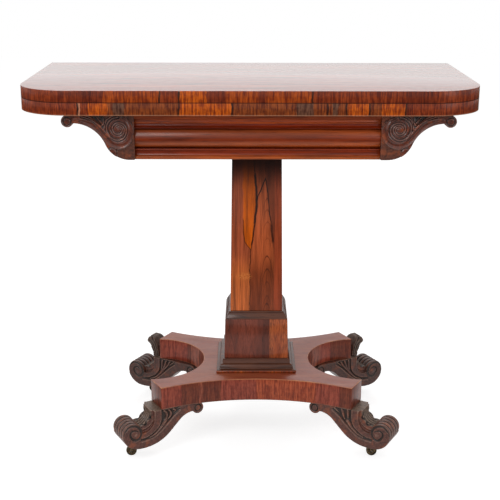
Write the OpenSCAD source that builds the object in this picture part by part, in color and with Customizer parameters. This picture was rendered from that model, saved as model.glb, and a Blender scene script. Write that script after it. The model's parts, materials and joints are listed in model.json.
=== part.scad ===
// Card table: a fold-over, swivelling top on a frieze box with scroll brackets,
// a tapered square column, a hollow-sided platform and four scroll feet on castors.
// Millimetres. The origin is on the floor under the middle of the closed top,
// +X to the sitter's right, -Y to the front, +Z up.

/* [Folding top] */
// Length of each leaf
top_w = 880; // [780:1:960]
// Depth of each leaf
top_d = 440; // [400:1:480]
// Thickness of each leaf
leaf_t = 23; // [20:0.5:28]
// Radius of the two front corners of each leaf
corner_r = 104; // [60:1:150]
// How far the closed top sits to the left of the base's centre
top_set = 14; // [0:1:24]
// Width of the polished border round the baize
border_w = 42; // [30:1:60]
// Depth of the sinking that takes the baize
baize_sink = 1.2; // [1:0.1:2]
// Thickness of the baize
baize_t = 1; // [0.6:0.1:1]

/* [Leaf hinges] */
// Length of a hinge plate along the leaf's end
hinge_l = 72; // [60:1:90]
// Height of a hinge plate
hinge_h = 11; // [9:0.5:13]
// Thickness of a hinge plate
hinge_t = 4; // [3:0.2:5]
// Radius of the hinge's round eye
eye_r = 3.6; // [3.2:0.1:4]
// Radius of the hinge pin
hinge_pin_r = 1.3; // [1:0.1:1.6]
// Gap between the two leaves' back edges when the top lies open
fold_gap = 0.3; // [0.2:0.05:0.6]

/* [Swivel] */
// Radius of the pivot plate let into the lower leaf
pivot_plate_r = 34; // [28:1:36]
// Thickness of the pivot plate
pivot_plate_t = 3; // [2:0.5:5]
// Radius of the pivot stud
stud_r = 8; // [6:0.5:10]
// Gap between the lower leaf and the top of the frieze
swivel_gap = 0.2; // [0.2:0.05:0.5]
// Width of the bearer that the stud turns in
bearer_w = 112; // [108:1:130]
// Thickness of the bearer that the stud turns in
bearer_t = 28; // [22:1:34]
// Radius of the peg that stops the swivel
stop_r = 5; // [4:0.5:5]
// Distance of the stop peg from the pivot
stop_out = 44; // [42:0.5:46]

/* [Frieze] */
// Length of the frieze box between the brackets
frieze_w = 464; // [430:1:490]
// Depth of the frieze box without its mouldings
frieze_d = 356; // [330:1:380]
// Height of the frieze
frieze_h = 88; // [84:1:100]
// Thickness of the front and back rails
rail_t = 25; // [20:1:30]
// Thickness of the end rails
end_t = 22; // [18:1:28]
// Thickness of the floor of the card well
well_floor_t = 6; // [4:0.5:9]
// How far the top moulding stands out from the rails
cornice_out = 14; // [10:0.5:16]
// How far the half-round cushion stands out from the rails
cushion_out = 13; // [9:0.5:15]
// Height of the cushion
cushion_h = 40; // [34:1:44]
// Height of the base moulding of the frieze
skirt_h = 20; // [16:1:24]
// How far the base moulding stands out from the rails
skirt_out = 12; // [8:0.5:15]

/* [Brackets] */
// Length of a bracket from the frieze's end to the middle of its small scroll
bracket_l = 126.5; // [110:0.5:150]
// Thickness of a bracket from front to back
bracket_t = 44; // [34:1:54]
// Radius of the large scroll
volute_r = 32; // [26:0.5:34]
// Width of the raised band that joins the two scrolls
arm_band_w = 15.5; // [10:0.5:20]
// How far the scrolls and their band stand proud of the heel
volute_out = 4; // [2:0.5:6]
// Radius of the small scroll at the bracket's tip
tip_r = 11.5; // [9:0.5:14]

/* [Column] */
// Length of the column's shaft
column_h = 352; // [300:1:400]
// Width of the shaft at the top
column_top_w = 100.5; // [90:0.5:110]
// Width of the shaft at the bottom
column_foot_w = 109; // [100:0.5:116]
// Height of the collar under the shaft
collar_h = 16; // [12:1:20]
// Width of the collar's top edge
collar_top_w = 115; // [111:0.5:120]
// Width of the collar's lower edge
collar_foot_w = 130; // [126:0.5:132]
// Height of the plinth block
plinth_h = 86.5; // [70:0.5:100]
// Width of the plinth block at its top
plinth_top_w = 131; // [128:0.5:136]
// Width of the plinth block at its foot
plinth_foot_w = 135.5; // [132:0.5:140]
// Height of the moulding round the foot of the block
socle_h = 28; // [22:0.5:34]
// Width of that moulding at its lowest bead
socle_w = 169; // [160:0.5:180]
// Width of the square core that passes through collar and block
core_w = 84; // [70:1:90]
// Radius of the round tenons at the column's ends
tenon_r = 24; // [18:1:28]

/* [Platform] */
// Thickness of the platform
platform_t = 48; // [40:0.5:56]
// Half the platform's width at the front corners of its arms
arm_ax = 195; // [185:0.5:200]
// Half the platform's depth at the front corners of its arms
arm_ay = 162; // [155:0.5:168]
// Half the platform's width at the side corners of its arms
arm_bx = 220.5; // [210:0.5:228]
// Half the platform's depth at the side corners of its arms
arm_by = 114.5; // [110:0.5:120]
// Half the platform's depth at the waist
waist_y = 113; // [105:0.5:120]
// Half the platform's width at the waist
waist_x = 114; // [110:0.5:120]

/* [Feet] */
// Height of a foot from its underside to the platform
foot_h = 76.5; // [72:0.5:84]
// Thickness of a foot's body
foot_w = 54; // [46:1:58]
// Width of the raised band along a foot's underside
band_w = 19; // [14:0.5:22]
// Radius of the roll at the toe
roll_r = 21.8; // [18:0.2:24]
// Length of the roll
roll_w = 59; // [56:0.5:72]
// Distance of the roll's axis from the end of the arm
roll_out = 65.6; // [60:0.2:72]
// Height of the roll's axis above the foot's underside
roll_up = 36; // [32:0.5:38]
// Distance of the foot's lowest point from the end of the arm
belly_out = 41; // [36:0.5:46]
// Radius of the foot's long under-curve
belly_r = 84.5; // [76:0.5:92]
// Radius of the hollow between the roll and the platform
hollow_r = 28; // [24:0.5:30]
// Width of the fluted leaf inside that hollow
leaf_w = 40; // [30:1:44]
// Radius of the small scroll at the inner end
knob_r = 12.5; // [9:0.5:13]
// Distance of the small scroll's axis inward from the end of the arm
knob_in = 82; // [74:1:86]
// How far the flat ledge of a front foot reaches past the arm
ledge = 22; // [16:0.5:26]

/* [Castors] */
// Height from the floor to the foot's underside
castor_h = 26; // [26:0.5:34]
// Radius of a castor wheel
wheel_r = 11; // [9:0.5:11]
// Width of a castor wheel
wheel_w = 9; // [6:0.5:11]
// Distance of the axle from the swivel axis
trail = 10; // [6:0.5:12]
// Distance of the swivel axis from the end of the arm
castor_out = 48; // [44:0.5:52]
// Radius of the castor's top plate
castor_plate_r = 13; // [11:0.5:16]
// Thickness of the castor's top plate
castor_plate_t = 3; // [2:0.5:4]

/* [Screws] */
// Length of a hinge screw
hinge_screw_l = 18; // [14:1:22]
// Length of a pivot plate screw
pivot_screw_l = 16; // [10:1:17]
// How deep the column bearer's screws reach into the shaft
bearer_screw_bite = 30; // [20:1:45]
// How deep a foot's screw reaches into the platform
foot_screw_bite = 25; // [15:1:35]
// Length of a castor plate's screw
castor_screw_l = 14; // [10:1:18]

/* [Fits] */
// Radial running clearance of pins, studs and axles
run_fit = 0.05; // [0.02:0.01:0.1]
// Clearance round parts that are let in or screwed
seat_fit = 0.1; // [0.05:0.01:0.2]
// Clearance between parts that pass each other
pass_gap = 0.3; // [0.2:0.05:0.6]

/* [Hidden] */
$fn = 64;

// Heights of the main joints, from the floor up
z_platform = castor_h + foot_h;
z_socle = z_platform + platform_t;
z_plinth = z_socle + socle_h;
z_collar = z_plinth + plinth_h;
z_shaft = z_collar + collar_h;
z_frieze = z_shaft + column_h;
z_frieze_top = z_frieze + frieze_h;
z_lower = z_frieze_top + swivel_gap;
z_fold = z_lower + leaf_t;
z_top = z_fold + leaf_t;

// Pivot and fold axes. The pivot lies where a quarter turn brings the opened top over the base.
fold_y = top_d / 2 + fold_gap / 2;
pivot = (top_set + fold_y) / 2;

// Screw sizes: shank radius, head radius, head depth
small_screw = [1.3, 2.6, 1.5];
plate_screw = [2.2, 4.4, 2.4];
long_screw = [2.6, 5, 2.8];

// The arms' end faces: middle and outward direction
arm_x = (arm_ax + arm_bx) / 2;
arm_y = (arm_ay + arm_by) / 2;
arm_angle = atan2(arm_bx - arm_ax, arm_ay - arm_by);
feet = [["front_left", -1, -1], ["front_right", 1, -1], ["rear_left", -1, 1], ["rear_right", 1, 1]];

column_bearer_t = 24;
column_bearer_w = 116;
strip_w = 14;
foot_tenon_r = 10;
foot_tenon_l = 26;
foot_tenon_in = 34;
foot_screw_in = 60;
neck_t = 18;
neck_r = 40;
sole = 9;
eps = 0.01;

wood = "#5e2a1a";
carved = "#3f2118";
pine = "#a5794a";
brass = "#8a6a34";
iron = "#4b4844";
baize = "#2f5a3c";

// Points of an arc in the XY plane, from angle a0 to angle a1
function arc(cx, cy, r, a0, a1, n = 10) =
    [for (i = [0 : n]) [cx + r * cos(a0 + (a1 - a0) * i / n), cy + r * sin(a0 + (a1 - a0) * i / n)]];

// Points of a quarter ellipse, from its lowest point to its outermost point
function lower_quarter(cx, cy, a, b, n = 12) =
    [for (i = [0 : n]) [cx + a * sin(90 * i / n), cy - b * cos(90 * i / n)]];

// A shaft with a countersunk head, head face at the origin, pointing along +Z
module screw(size, length, grow = 0) {
    translate([0, 0, -eps * sign(grow)]) cylinder(r = size[0] + grow, h = length + grow);
    cylinder(r1 = size[1] + grow, r2 = size[0] + grow, h = size[2]);
}

// Profile drawn in XY, made solid along X and standing up: profile x goes to -Y, profile y to Z
module front_run(length) {
    rotate([90, 0, -90]) translate([0, 0, -length / 2]) linear_extrude(length) children();
}

// A solid of square section whose half profile (half width, height) is drawn in XY
module square_turned(reach) {
    intersection_for(turn = [0, 90])
        rotate([0, 0, turn]) rotate([90, 0, 0]) translate([0, 0, -reach])
            linear_extrude(2 * reach) children();
}

module both_sides() {
    children();
    mirror([1, 0, 0]) children();
}

module front_and_back() {
    children();
    mirror([0, 1, 0]) children();
}

// Top

// Plan of a leaf drawn in by a margin on its front and ends; the back edge stays
module leaf_plan(margin = 0) {
    r = corner_r - margin;
    half_w = top_w / 2 - margin;
    front = -top_d / 2 + margin;
    translate([-half_w, front + r]) square([2 * half_w, top_d / 2 - front - r]);
    translate([-half_w + r, front]) square([2 * (half_w - r), r + eps]);
    for (side = [-1, 1]) translate([side * (half_w - r), front + r]) circle(r = r, $fn = 96);
}

// Everything that is cut out of a leaf's back corner for its hinge. The leaf lies below the fold.
module hinge_pocket() {
    both_sides() {
        translate([top_w / 2 - hinge_t - seat_fit, top_d / 2 - hinge_l - seat_fit,
               z_fold - 1 - hinge_h - seat_fit])
            cube([hinge_t + 1, hinge_l + 1, hinge_h + 2 * seat_fit]);
        translate([top_w / 2 - hinge_t - seat_fit, fold_y, z_fold]) rotate([0, 90, 0])
            cylinder(r = eye_r + pass_gap, h = hinge_t + 1);
        hinge_screw_row(seat_fit);
    }
}

module hinge_screw_row(grow = 0) {
    for (k = [0 : 2])
        translate([top_w / 2, top_d / 2 - hinge_l * (0.2 + 0.28 * k), z_fold - 1 - hinge_h / 2])
            rotate([0, -90, 0]) screw(small_screw, hinge_screw_l, grow);
}

// Right-hand plate below the fold; its eye takes the inner or the outer half of the thickness
module hinge_plate(inner) {
    x_in = top_w / 2 - hinge_t;
    x_eye = inner ? x_in : x_in + hinge_t / 2;
    x_gap = inner ? x_in + hinge_t / 2 - pass_gap / 4 : x_in - eps;
    difference() {
        union() {
            difference() {
                translate([x_in, top_d / 2 - hinge_l, z_fold - 1 - hinge_h])
                    cube([hinge_t, hinge_l, hinge_h]);
                translate([x_gap, fold_y, z_fold]) rotate([0, 90, 0])
                    cylinder(r = eye_r + pass_gap, h = hinge_t / 2 + pass_gap / 4 + 2 * eps);
            }
            translate([x_eye + (inner ? 0 : pass_gap / 4), fold_y, z_fold]) rotate([0, 90, 0])
                cylinder(r = eye_r, h = hinge_t / 2 - pass_gap / 4);
        }
        translate([x_in - 1, fold_y, z_fold]) rotate([0, 90, 0])
            cylinder(r = hinge_pin_r + run_fit, h = hinge_t + 2);
        hinge_screw_row(seat_fit);
    }
}

// Turns what lies below the fold over to lie above it
module above_fold() {
    translate([0, 0, z_fold]) mirror([0, 0, 1]) translate([0, 0, -z_fold]) children();
}

module leaf_blank() {
    difference() {
        translate([0, 0, z_lower]) linear_extrude(leaf_t) leaf_plan();
        translate([0, 0, z_fold - baize_sink]) linear_extrude(baize_sink + 1)
            union() {
                leaf_plan(border_w);
                translate([-top_w / 2 + border_w, 0]) square([top_w - 2 * border_w, top_d / 2 + 1]);
            }
        hinge_pocket();
    }
}

module baize_sheet() {
    translate([0, 0, z_fold - baize_sink]) linear_extrude(baize_t) leaf_plan(border_w + seat_fit);
}

module upper_leaf() {
    color(wood) above_fold() leaf_blank();
}

module upper_baize() {
    color(baize) above_fold() baize_sheet();
}

module lower_leaf() {
    color(wood) difference() {
        leaf_blank();
        at_pivot() translate([0, 0, z_lower - 1])
            cylinder(r = pivot_plate_r + seat_fit, h = pivot_plate_t + 1);
        at_pivot() pivot_screw_ring(seat_fit);
        at_stop(0) translate([0, 0, z_lower - 1]) cylinder(r = stop_r + seat_fit, h = leaf_t / 2 + 1);
    }
}

module lower_baize() {
    color(baize) baize_sheet();
}

module hinge_lower_right() {
    color(brass) hinge_plate(true);
}

module hinge_lower_left() {
    color(brass) mirror([1, 0, 0]) hinge_plate(true);
}

module hinge_upper_right() {
    color(brass) above_fold() hinge_plate(false);
}

module hinge_upper_left() {
    color(brass) mirror([1, 0, 0]) above_fold() hinge_plate(false);
}

module hinge_pins() {
    color(brass) both_sides() translate([top_w / 2 - hinge_t, fold_y, z_fold]) rotate([0, 90, 0])
        cylinder(r = hinge_pin_r, h = hinge_t);
}

module hinge_screws_upper() {
    color(brass) above_fold() both_sides() hinge_screw_row();
}

module hinge_screws_lower() {
    color(brass) both_sides() hinge_screw_row();
}

// Swivel

module at_pivot() {
    translate([pivot, pivot, 0]) children();
}

// The stop peg's place: quarter 0 with the top square to the base, quarter 1 a quarter turn on
module at_stop(quarter) {
    at_pivot() rotate([0, 0, 180 + 90 * quarter]) translate([stop_out, 0, 0]) children();
}

module pivot_screw_ring(grow = 0) {
    for (k = [0 : 3]) rotate([0, 0, 45 + 90 * k]) translate([pivot_plate_r * 0.72, 0, z_lower])
        screw(plate_screw, pivot_screw_l, grow);
}

washer_t = 3;
nut_t = 9;
stud_end = 3;
z_bearer = z_frieze_top - bearer_t;

module pivot_plate() {
    color(iron) at_pivot() difference() {
        union() {
            translate([0, 0, z_lower]) cylinder(r = pivot_plate_r, h = pivot_plate_t - seat_fit);
            translate([0, 0, z_bearer - swivel_gap - washer_t - nut_t - stud_end])
                cylinder(r = stud_r, h = z_lower + eps - z_bearer + swivel_gap + washer_t + nut_t + stud_end);
        }
        pivot_screw_ring(seat_fit);
    }
}

module pivot_screws() {
    color(iron) at_pivot() pivot_screw_ring();
}

module pivot_washer() {
    color(iron) at_pivot() translate([0, 0, z_bearer - swivel_gap - washer_t]) difference() {
        cylinder(r = stud_r * 2.2, h = washer_t);
        translate([0, 0, -1]) cylinder(r = stud_r + seat_fit, h = washer_t + 2);
    }
}

module pivot_nut() {
    side = stud_r * 3;
    color(iron) at_pivot() translate([0, 0, z_bearer - swivel_gap - washer_t - nut_t]) difference() {
        translate([-side / 2, -side / 2, 0]) cube([side, side, nut_t]);
        translate([0, 0, -1]) cylinder(r = stud_r + seat_fit, h = nut_t + 2);
    }
}

stop_drop = 7;

module swivel_stop() {
    color(brass) at_stop(0) translate([0, 0, z_frieze_top - stop_drop])
        cylinder(r = stop_r, h = stop_drop + swivel_gap + leaf_t / 2 - seat_fit);
}

// Frieze

half_w = frieze_w / 2;
half_d = frieze_d / 2;
inner_d = half_d - rail_t;

module at_base() {
    translate([top_set, 0, 0]) children();
}

module pivot_bearer() {
    slot_r = stop_r + pass_gap;
    color(pine) difference() {
        translate([pivot - bearer_w / 2, -inner_d, z_bearer]) cube([bearer_w, 2 * inner_d, bearer_t]);
        at_pivot() translate([0, 0, z_bearer - 1]) cylinder(r = stud_r + run_fit, h = bearer_t + 2);
        translate([0, 0, z_frieze_top - stop_drop - 1]) {
            for (quarter = [0, 1]) at_stop(quarter) cylinder(r = slot_r, h = stop_drop + 2);
            at_pivot() intersection() {
                difference() {
                    cylinder(r = stop_out + slot_r, h = stop_drop + 2);
                    translate([0, 0, -1]) cylinder(r = stop_out - slot_r, h = stop_drop + 4);
                }
                translate([-stop_out - slot_r - 1, -stop_out - slot_r - 1, 0])
                    cube([stop_out + slot_r + 1, stop_out + slot_r + 1, stop_drop + 2]);
            }
        }
    }
}

// Tongue of the front right bracket, let into the end of the front rail
module bracket_tongue(grow = 0) {
    translate([half_w - tongue_l - grow, -half_d + (rail_t - tongue_t) / 2 - grow,
               z_frieze + tongue_edge - grow])
        cube([tongue_l + grow + eps, tongue_t + 2 * grow, frieze_h - 2 * tongue_edge + 2 * grow]);
}

module front_rail() {
    difference() {
        translate([-half_w, -half_d, z_frieze]) cube([frieze_w, rail_t, frieze_h]);
        both_sides() bracket_tongue(seat_fit);
    }
}

module frieze_front() {
    color(wood) at_base() front_rail();
}

module frieze_back() {
    color(wood) at_base() mirror([0, 1, 0]) front_rail();
}

module end_rail() {
    translate([half_w - end_t, -inner_d, z_frieze]) cube([end_t, 2 * inner_d, frieze_h]);
}

module frieze_end_right() {
    color(wood) at_base() end_rail();
}

module frieze_end_left() {
    color(wood) at_base() mirror([1, 0, 0]) end_rail();
}

z_floor = z_frieze + column_bearer_t;

module well_floor() {
    color(pine) at_base() translate([-half_w + end_t, -inner_d, z_floor])
        cube([frieze_w - 2 * end_t, 2 * inner_d, well_floor_t]);
}

// Strips along the rails that carry the well's floor on each side of the column bearer
module floor_strips() {
    strip_l = half_w - end_t - column_bearer_w / 2;
    color(pine) at_base() both_sides() front_and_back()
        translate([column_bearer_w / 2, -inner_d, z_frieze + strip_w / 2])
            cube([strip_l, strip_w, column_bearer_t - strip_w / 2]);
}

module bearer_screw_ring(grow = 0) {
    for (k = [0 : 3]) rotate([0, 0, 45 + 90 * k])
        translate([(tenon_r + column_top_w * 0.7) / 2, 0, z_floor]) rotate([180, 0, 0])
            screw(long_screw, column_bearer_t + bearer_screw_bite, grow);
}

module column_bearer() {
    color(pine) at_base() difference() {
        translate([-column_bearer_w / 2, -inner_d, z_frieze])
            cube([column_bearer_w, 2 * inner_d, column_bearer_t]);
        translate([0, 0, z_frieze - 1]) cylinder(r = tenon_r + seat_fit, h = column_bearer_t + 2);
        bearer_screw_ring(seat_fit);
    }
}

module bearer_screws() {
    color(iron) at_base() bearer_screw_ring();
}

// Three-cornered blocks glued into the corners of the box above the well's floor
module glue_blocks() {
    side = 24;
    z0 = z_floor + well_floor_t;
    color(pine) at_base() both_sides() front_and_back()
        translate([-half_w + end_t, -inner_d, z0]) linear_extrude(z_frieze_top - 4 - z0)
            polygon([[0, 0], [side, 0], [0, side]]);
}

cornice_h = frieze_h - cushion_h - skirt_h;

// Fascia, recess, bead and cove, seen from the left end: x outward from the rail, y up. The recess
// takes up what the other three leave of the height.
module cornice_profile() {
    fascia_h = 10;
    recess = 6;
    bead_r = 2;
    cove_r = 6.4;
    ledge_y = cove_r + 1;
    bead_y = ledge_y + bead_r - 0.4;
    lip_x = recess + 1 + cove_r;
    translate([0, cornice_h - fascia_h]) square([cornice_out, fascia_h]);
    square([recess, cornice_h]);
    translate([recess + 0.5, bead_y]) circle(r = bead_r, $fn = 32);
    difference() {
        square([lip_x, ledge_y]);
        translate([lip_x, ledge_y]) circle(r = cove_r, $fn = 48);
    }
}

module cushion_profile() {
    r = (cushion_out * cushion_out + cushion_h * cushion_h / 4) / (2 * cushion_out);
    intersection() {
        translate([cushion_out - r, cushion_h / 2]) circle(r = r, $fn = 128);
        square([cushion_out + 1, cushion_h]);
    }
}

// Fillet over an ogee that swells to a rounded lower edge
module skirt_profile() {
    fillet_h = 2.5;
    polygon(concat([[0, 0], [skirt_out - 3, 0]],
        arc(skirt_out - 3, 3, 3, -90, 0, 5),
        [[skirt_out, skirt_h * 0.3]],
        arc(skirt_out, skirt_h * 0.3 + skirt_out * 0.45, skirt_out * 0.45, -90, -180, 8),
        [[skirt_out * 0.55, skirt_h - fillet_h], [skirt_out * 0.72, skirt_h - fillet_h],
            [skirt_out * 0.72, skirt_h], [0, skirt_h]]));
}

module long_runs(z0) {
    front_and_back() translate([0, -half_d, z0]) front_run(frieze_w) children();
}

// Runs on the ends lie between the front and rear brackets
module end_runs(z0) {
    both_sides() translate([half_w, 0, z0]) rotate([0, 0, 90])
        front_run(2 * (half_d + bracket_proud - bracket_t) - 2 * pass_gap) children();
}

module cornice_moulding() {
    color(wood) at_base() {
        long_runs(z_frieze_top - cornice_h) cornice_profile();
        end_runs(z_frieze_top - cornice_h) cornice_profile();
    }
}

module cushion_front() {
    color(wood) at_base() translate([0, -half_d, z_frieze + skirt_h]) front_run(frieze_w) cushion_profile();
}

module cushion_back() {
    color(wood) at_base() mirror([0, 1, 0]) translate([0, -half_d, z_frieze + skirt_h])
        front_run(frieze_w) cushion_profile();
}

module cushion_ends() {
    color(wood) at_base() end_runs(z_frieze + skirt_h) cushion_profile();
}

module skirt_moulding() {
    color(wood) at_base() {
        long_runs(z_frieze) skirt_profile();
        end_runs(z_frieze) skirt_profile();
    }
}

// Brackets

bracket_proud = cornice_out + 2;
heel_w = 12;
heel_r = 48;
scroll_x = volute_r + 1.3;
scroll_drop = volute_r + 3;
tip_drop = 14;
tongue_l = 18;
tongue_t = 12;
tongue_edge = 14;

// A bracket's lower edge swells from the heel and then sweeps hollow up to the small scroll
sweep_x = bracket_l - tip_r + 2;
rise = frieze_h - heel_r - tip_drop - tip_r / 3;
run = sweep_x - heel_w;
sweep_r = (run * run + rise * rise - heel_r * heel_r) / (2 * (heel_r + rise));
sweep_y = heel_r - frieze_h + rise - sweep_r;

// Outline of a bracket seen from the front: x outward from the frieze's end, y below its top as negative
module bracket_outline() {
    lean = atan2(sweep_r - rise, run);
    polygon(concat(
        [[0, 0], [0, -frieze_h]],
        arc(heel_w, heel_r - frieze_h, heel_r, -90, -lean, 12),
        arc(sweep_x, sweep_y, sweep_r, 180 - lean, 90, 16),
        [[bracket_l, -tip_drop], [bracket_l, 0]]));
    translate([bracket_l, -tip_drop]) circle(r = tip_r);
}

// The raised face: the large scroll, the small scroll and the band between them
module scroll_face() {
    intersection() {
        bracket_outline();
        union() {
            translate([scroll_x, -scroll_drop]) circle(r = volute_r, $fn = 96);
            translate([sweep_x, sweep_y]) circle(r = sweep_r + arm_band_w, $fn = 180);
        }
    }
}

// Front right bracket
module bracket() {
    translate([half_w, -half_d - bracket_proud, z_frieze_top]) rotate([90, 0, 0]) {
        translate([0, 0, -bracket_t]) linear_extrude(bracket_t) bracket_outline();
        translate([0, 0, -eps]) linear_extrude(volute_out + eps) scroll_face();
    }
    bracket_tongue();
}

module bracket_front_right() {
    color(carved) at_base() bracket();
}

module bracket_front_left() {
    color(carved) at_base() mirror([1, 0, 0]) bracket();
}

module bracket_rear_right() {
    color(carved) at_base() mirror([0, 1, 0]) bracket();
}

module bracket_rear_left() {
    color(carved) at_base() mirror([1, 0, 0]) mirror([0, 1, 0]) bracket();
}

// Column

module column() {
    half_top = column_top_w / 2;
    half_foot = column_foot_w / 2;
    color(wood) at_base() {
        difference() {
            translate([0, 0, z_shaft]) square_turned(column_foot_w)
                polygon([[-half_foot, 0], [half_foot, 0], [half_top, column_h], [-half_top, column_h]]);
            bearer_screw_ring(seat_fit);
        }
        translate([0, 0, z_frieze - eps]) cylinder(r = tenon_r, h = column_bearer_t);
        translate([-core_w / 2, -core_w / 2, z_socle]) cube([core_w, core_w, z_shaft - z_socle + eps]);
        difference() {
            translate([0, 0, z_platform + 1]) cylinder(r = tenon_r, h = platform_t);
            translate([-wedge_t / 2, -tenon_r - 1, z_platform]) cube([wedge_t, 2 * tenon_r + 2, wedge_l]);
        }
    }
}

wedge_t = 5;
wedge_l = 34;

// Wedge driven into the tenon from under the platform
module tenon_wedge() {
    color(pine) at_base() intersection() {
        translate([-wedge_t / 2, -tenon_r - 1, z_platform + 1]) cube([wedge_t, 2 * tenon_r + 2, wedge_l - 2]);
        translate([0, 0, z_platform]) cylinder(r = tenon_r, h = wedge_l);
    }
}

module core_hole(z0, h) {
    hole = core_w + 2 * seat_fit;
    translate([-hole / 2, -hole / 2, z0 - 1]) cube([hole, hole, h + 2]);
}

module collar() {
    edge = 3;
    a = collar_top_w / 2;
    b = collar_foot_w / 2;
    color(wood) at_base() difference() {
        translate([0, 0, z_collar]) square_turned(collar_foot_w)
            polygon([[-b, 0], [b, 0], [b - 1.5, 4],
                [a + 1, collar_h - edge], [a, collar_h - edge], [a, collar_h],
                [-a, collar_h], [-a, collar_h - edge], [-a - 1, collar_h - edge],
                [-b + 1.5, 4]]);
        core_hole(z_collar, collar_h);
    }
}

module plinth_block() {
    a = plinth_top_w / 2;
    b = plinth_foot_w / 2;
    color(wood) at_base() difference() {
        translate([0, 0, z_plinth]) square_turned(plinth_foot_w)
            polygon([[-b, 0], [b, 0], [a, plinth_h], [-a, plinth_h]]);
        core_hole(z_plinth, plinth_h);
    }
}

// Right half of the moulding's section: bead, cove, ogee and top fillet
function socle_half() =
    let (w = socle_w / 2, bead = 3.5, f = plinth_foot_w / 2 + 3)
    concat([[w - 1, 0]],
        arc(w - bead, bead, bead, -60, 90, 8),
        arc(w - bead - 0.5, 2 * bead + 3.5, 3, 270, 180, 6),
        [[w - bead - 3.5, 2 * bead + 5]],
        arc(w - bead - 9.5, 2 * bead + 5.5, 5.5, 0, 90, 6),
        [[f + 0.5, socle_h - 3], [f, socle_h - 3], [f, socle_h]]);

module plinth_moulding() {
    right = socle_half();
    left = [for (i = [len(right) - 1 : -1 : 0]) [-right[i][0], right[i][1]]];
    color(wood) at_base() difference() {
        translate([0, 0, z_socle]) square_turned(socle_w) polygon(concat(right, left));
        core_hole(z_socle, socle_h);
    }
}

// Platform

// Radius of a circle that passes a given depth behind a chord
function sag_r(half_chord, sag) = (half_chord * half_chord + sag * sag) / (2 * sag);
front_bay_r = sag_r(arm_ax, arm_ay - waist_y);
side_bay_r = sag_r(arm_by, arm_bx - waist_x);

module platform() {
    color(wood) difference() {
        at_base() translate([0, 0, z_platform]) linear_extrude(platform_t) difference() {
            polygon([[arm_ax, -arm_ay], [arm_bx, -arm_by], [arm_bx, arm_by], [arm_ax, arm_ay],
                [-arm_ax, arm_ay], [-arm_bx, arm_by], [-arm_bx, -arm_by], [-arm_ax, -arm_ay]]);
            for (side = [-1, 1]) {
                translate([0, side * (waist_y + front_bay_r)]) circle(r = front_bay_r, $fn = 180);
                translate([side * (waist_x + side_bay_r), 0]) circle(r = side_bay_r, $fn = 128);
            }
        }
        at_base() translate([0, 0, z_platform - 1]) cylinder(r = tenon_r + seat_fit, h = platform_t + 2);
        each_foot() {
            translate([-foot_tenon_in, 0, z_platform - 1])
                cylinder(r = foot_tenon_r + seat_fit, h = foot_tenon_l + 1 + seat_fit);
            foot_screw(seat_fit);
        }
    }
}

// Feet. A foot is drawn with its arm's end face at x = 0, reaching out along +X.

module at_foot(side, depth) {
    turn = side > 0 ? depth * arm_angle : 180 - depth * arm_angle;
    at_base() translate([side * arm_x, depth * arm_y, 0]) rotate([0, 0, turn]) children();
}

module each_foot() {
    for (foot = feet) at_foot(foot[1], foot[2]) children();
}

module foot_screw(grow = 0) {
    translate([-foot_screw_in, 0, z_platform - neck_t + 1])
        screw(long_screw, neck_t - 1 + foot_screw_bite, grow);
}

// Side view of the foot's body without its hollow
module foot_outline() {
    slope = 45;
    start_x = belly_out - belly_r * sin(slope);
    start_z = belly_r * (1 - cos(slope));
    neck_z = foot_h - neck_t;
    line_x = start_x + start_z - (neck_z - neck_r * (1 - cos(slope)));
    polygon(concat(
        [[-knob_in, foot_h], [-knob_in, neck_z]],
        arc(line_x - neck_r * sin(slope), neck_z - neck_r, neck_r, 90, 90 - slope, 6),
        arc(belly_out, belly_r, belly_r, 270 - slope, 270, 10),
        lower_quarter(belly_out + sole, roll_up, roll_out + roll_r - belly_out - sole, roll_up),
        [[ledge, foot_h]]));
}

// Side view of the raised band that follows the underside from the knob to the roll
module band_outline() {
    inner_r = belly_r - band_w;
    lift = inner_r * sin(45);
    difference() {
        foot_outline();
        polygon(concat(
            [[belly_out - lift - foot_h, belly_r - lift + foot_h]],
            arc(belly_out, belly_r, inner_r, 225, 315, 24),
            [[belly_out + inner_r, belly_r - lift], [belly_out + inner_r, belly_r + foot_h]]));
    }
}

// A slice of the body between two offsets across the foot, with the given hollow cut from it
module foot_slice(from, to, cx, cz, r) {
    translate([0, 0, castor_h]) rotate([90, 0, 0]) translate([0, 0, from]) linear_extrude(to - from)
        difference() {
            foot_outline();
            translate([cx, cz]) circle(r = r, $fn = 72);
            translate([cx - r, cz]) square([2 * r, 2 * r]);
        }
}

// The reeded roll: beads side by side along the axis
module roll() {
    reeds = 5;
    pitch = roll_w / reeds;
    groove = 2;
    translate([roll_out, 0, castor_h + roll_up]) rotate([90, 0, 0]) rotate_extrude($fn = 72) difference() {
        translate([0, -roll_w / 2]) square([roll_r, roll_w]);
        for (k = [0 : reeds])
            translate([roll_r, (k - reeds / 2) * pitch]) rotate(45) square(groove * 1.4, center = true);
    }
}

side_hollow = [belly_out, 57];
side_hollow_r = 24.5;
leaf_hollow = [ledge + hollow_r, foot_h - 2];
band_out = (roll_w - foot_w) / 2 - 0.5;

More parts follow.
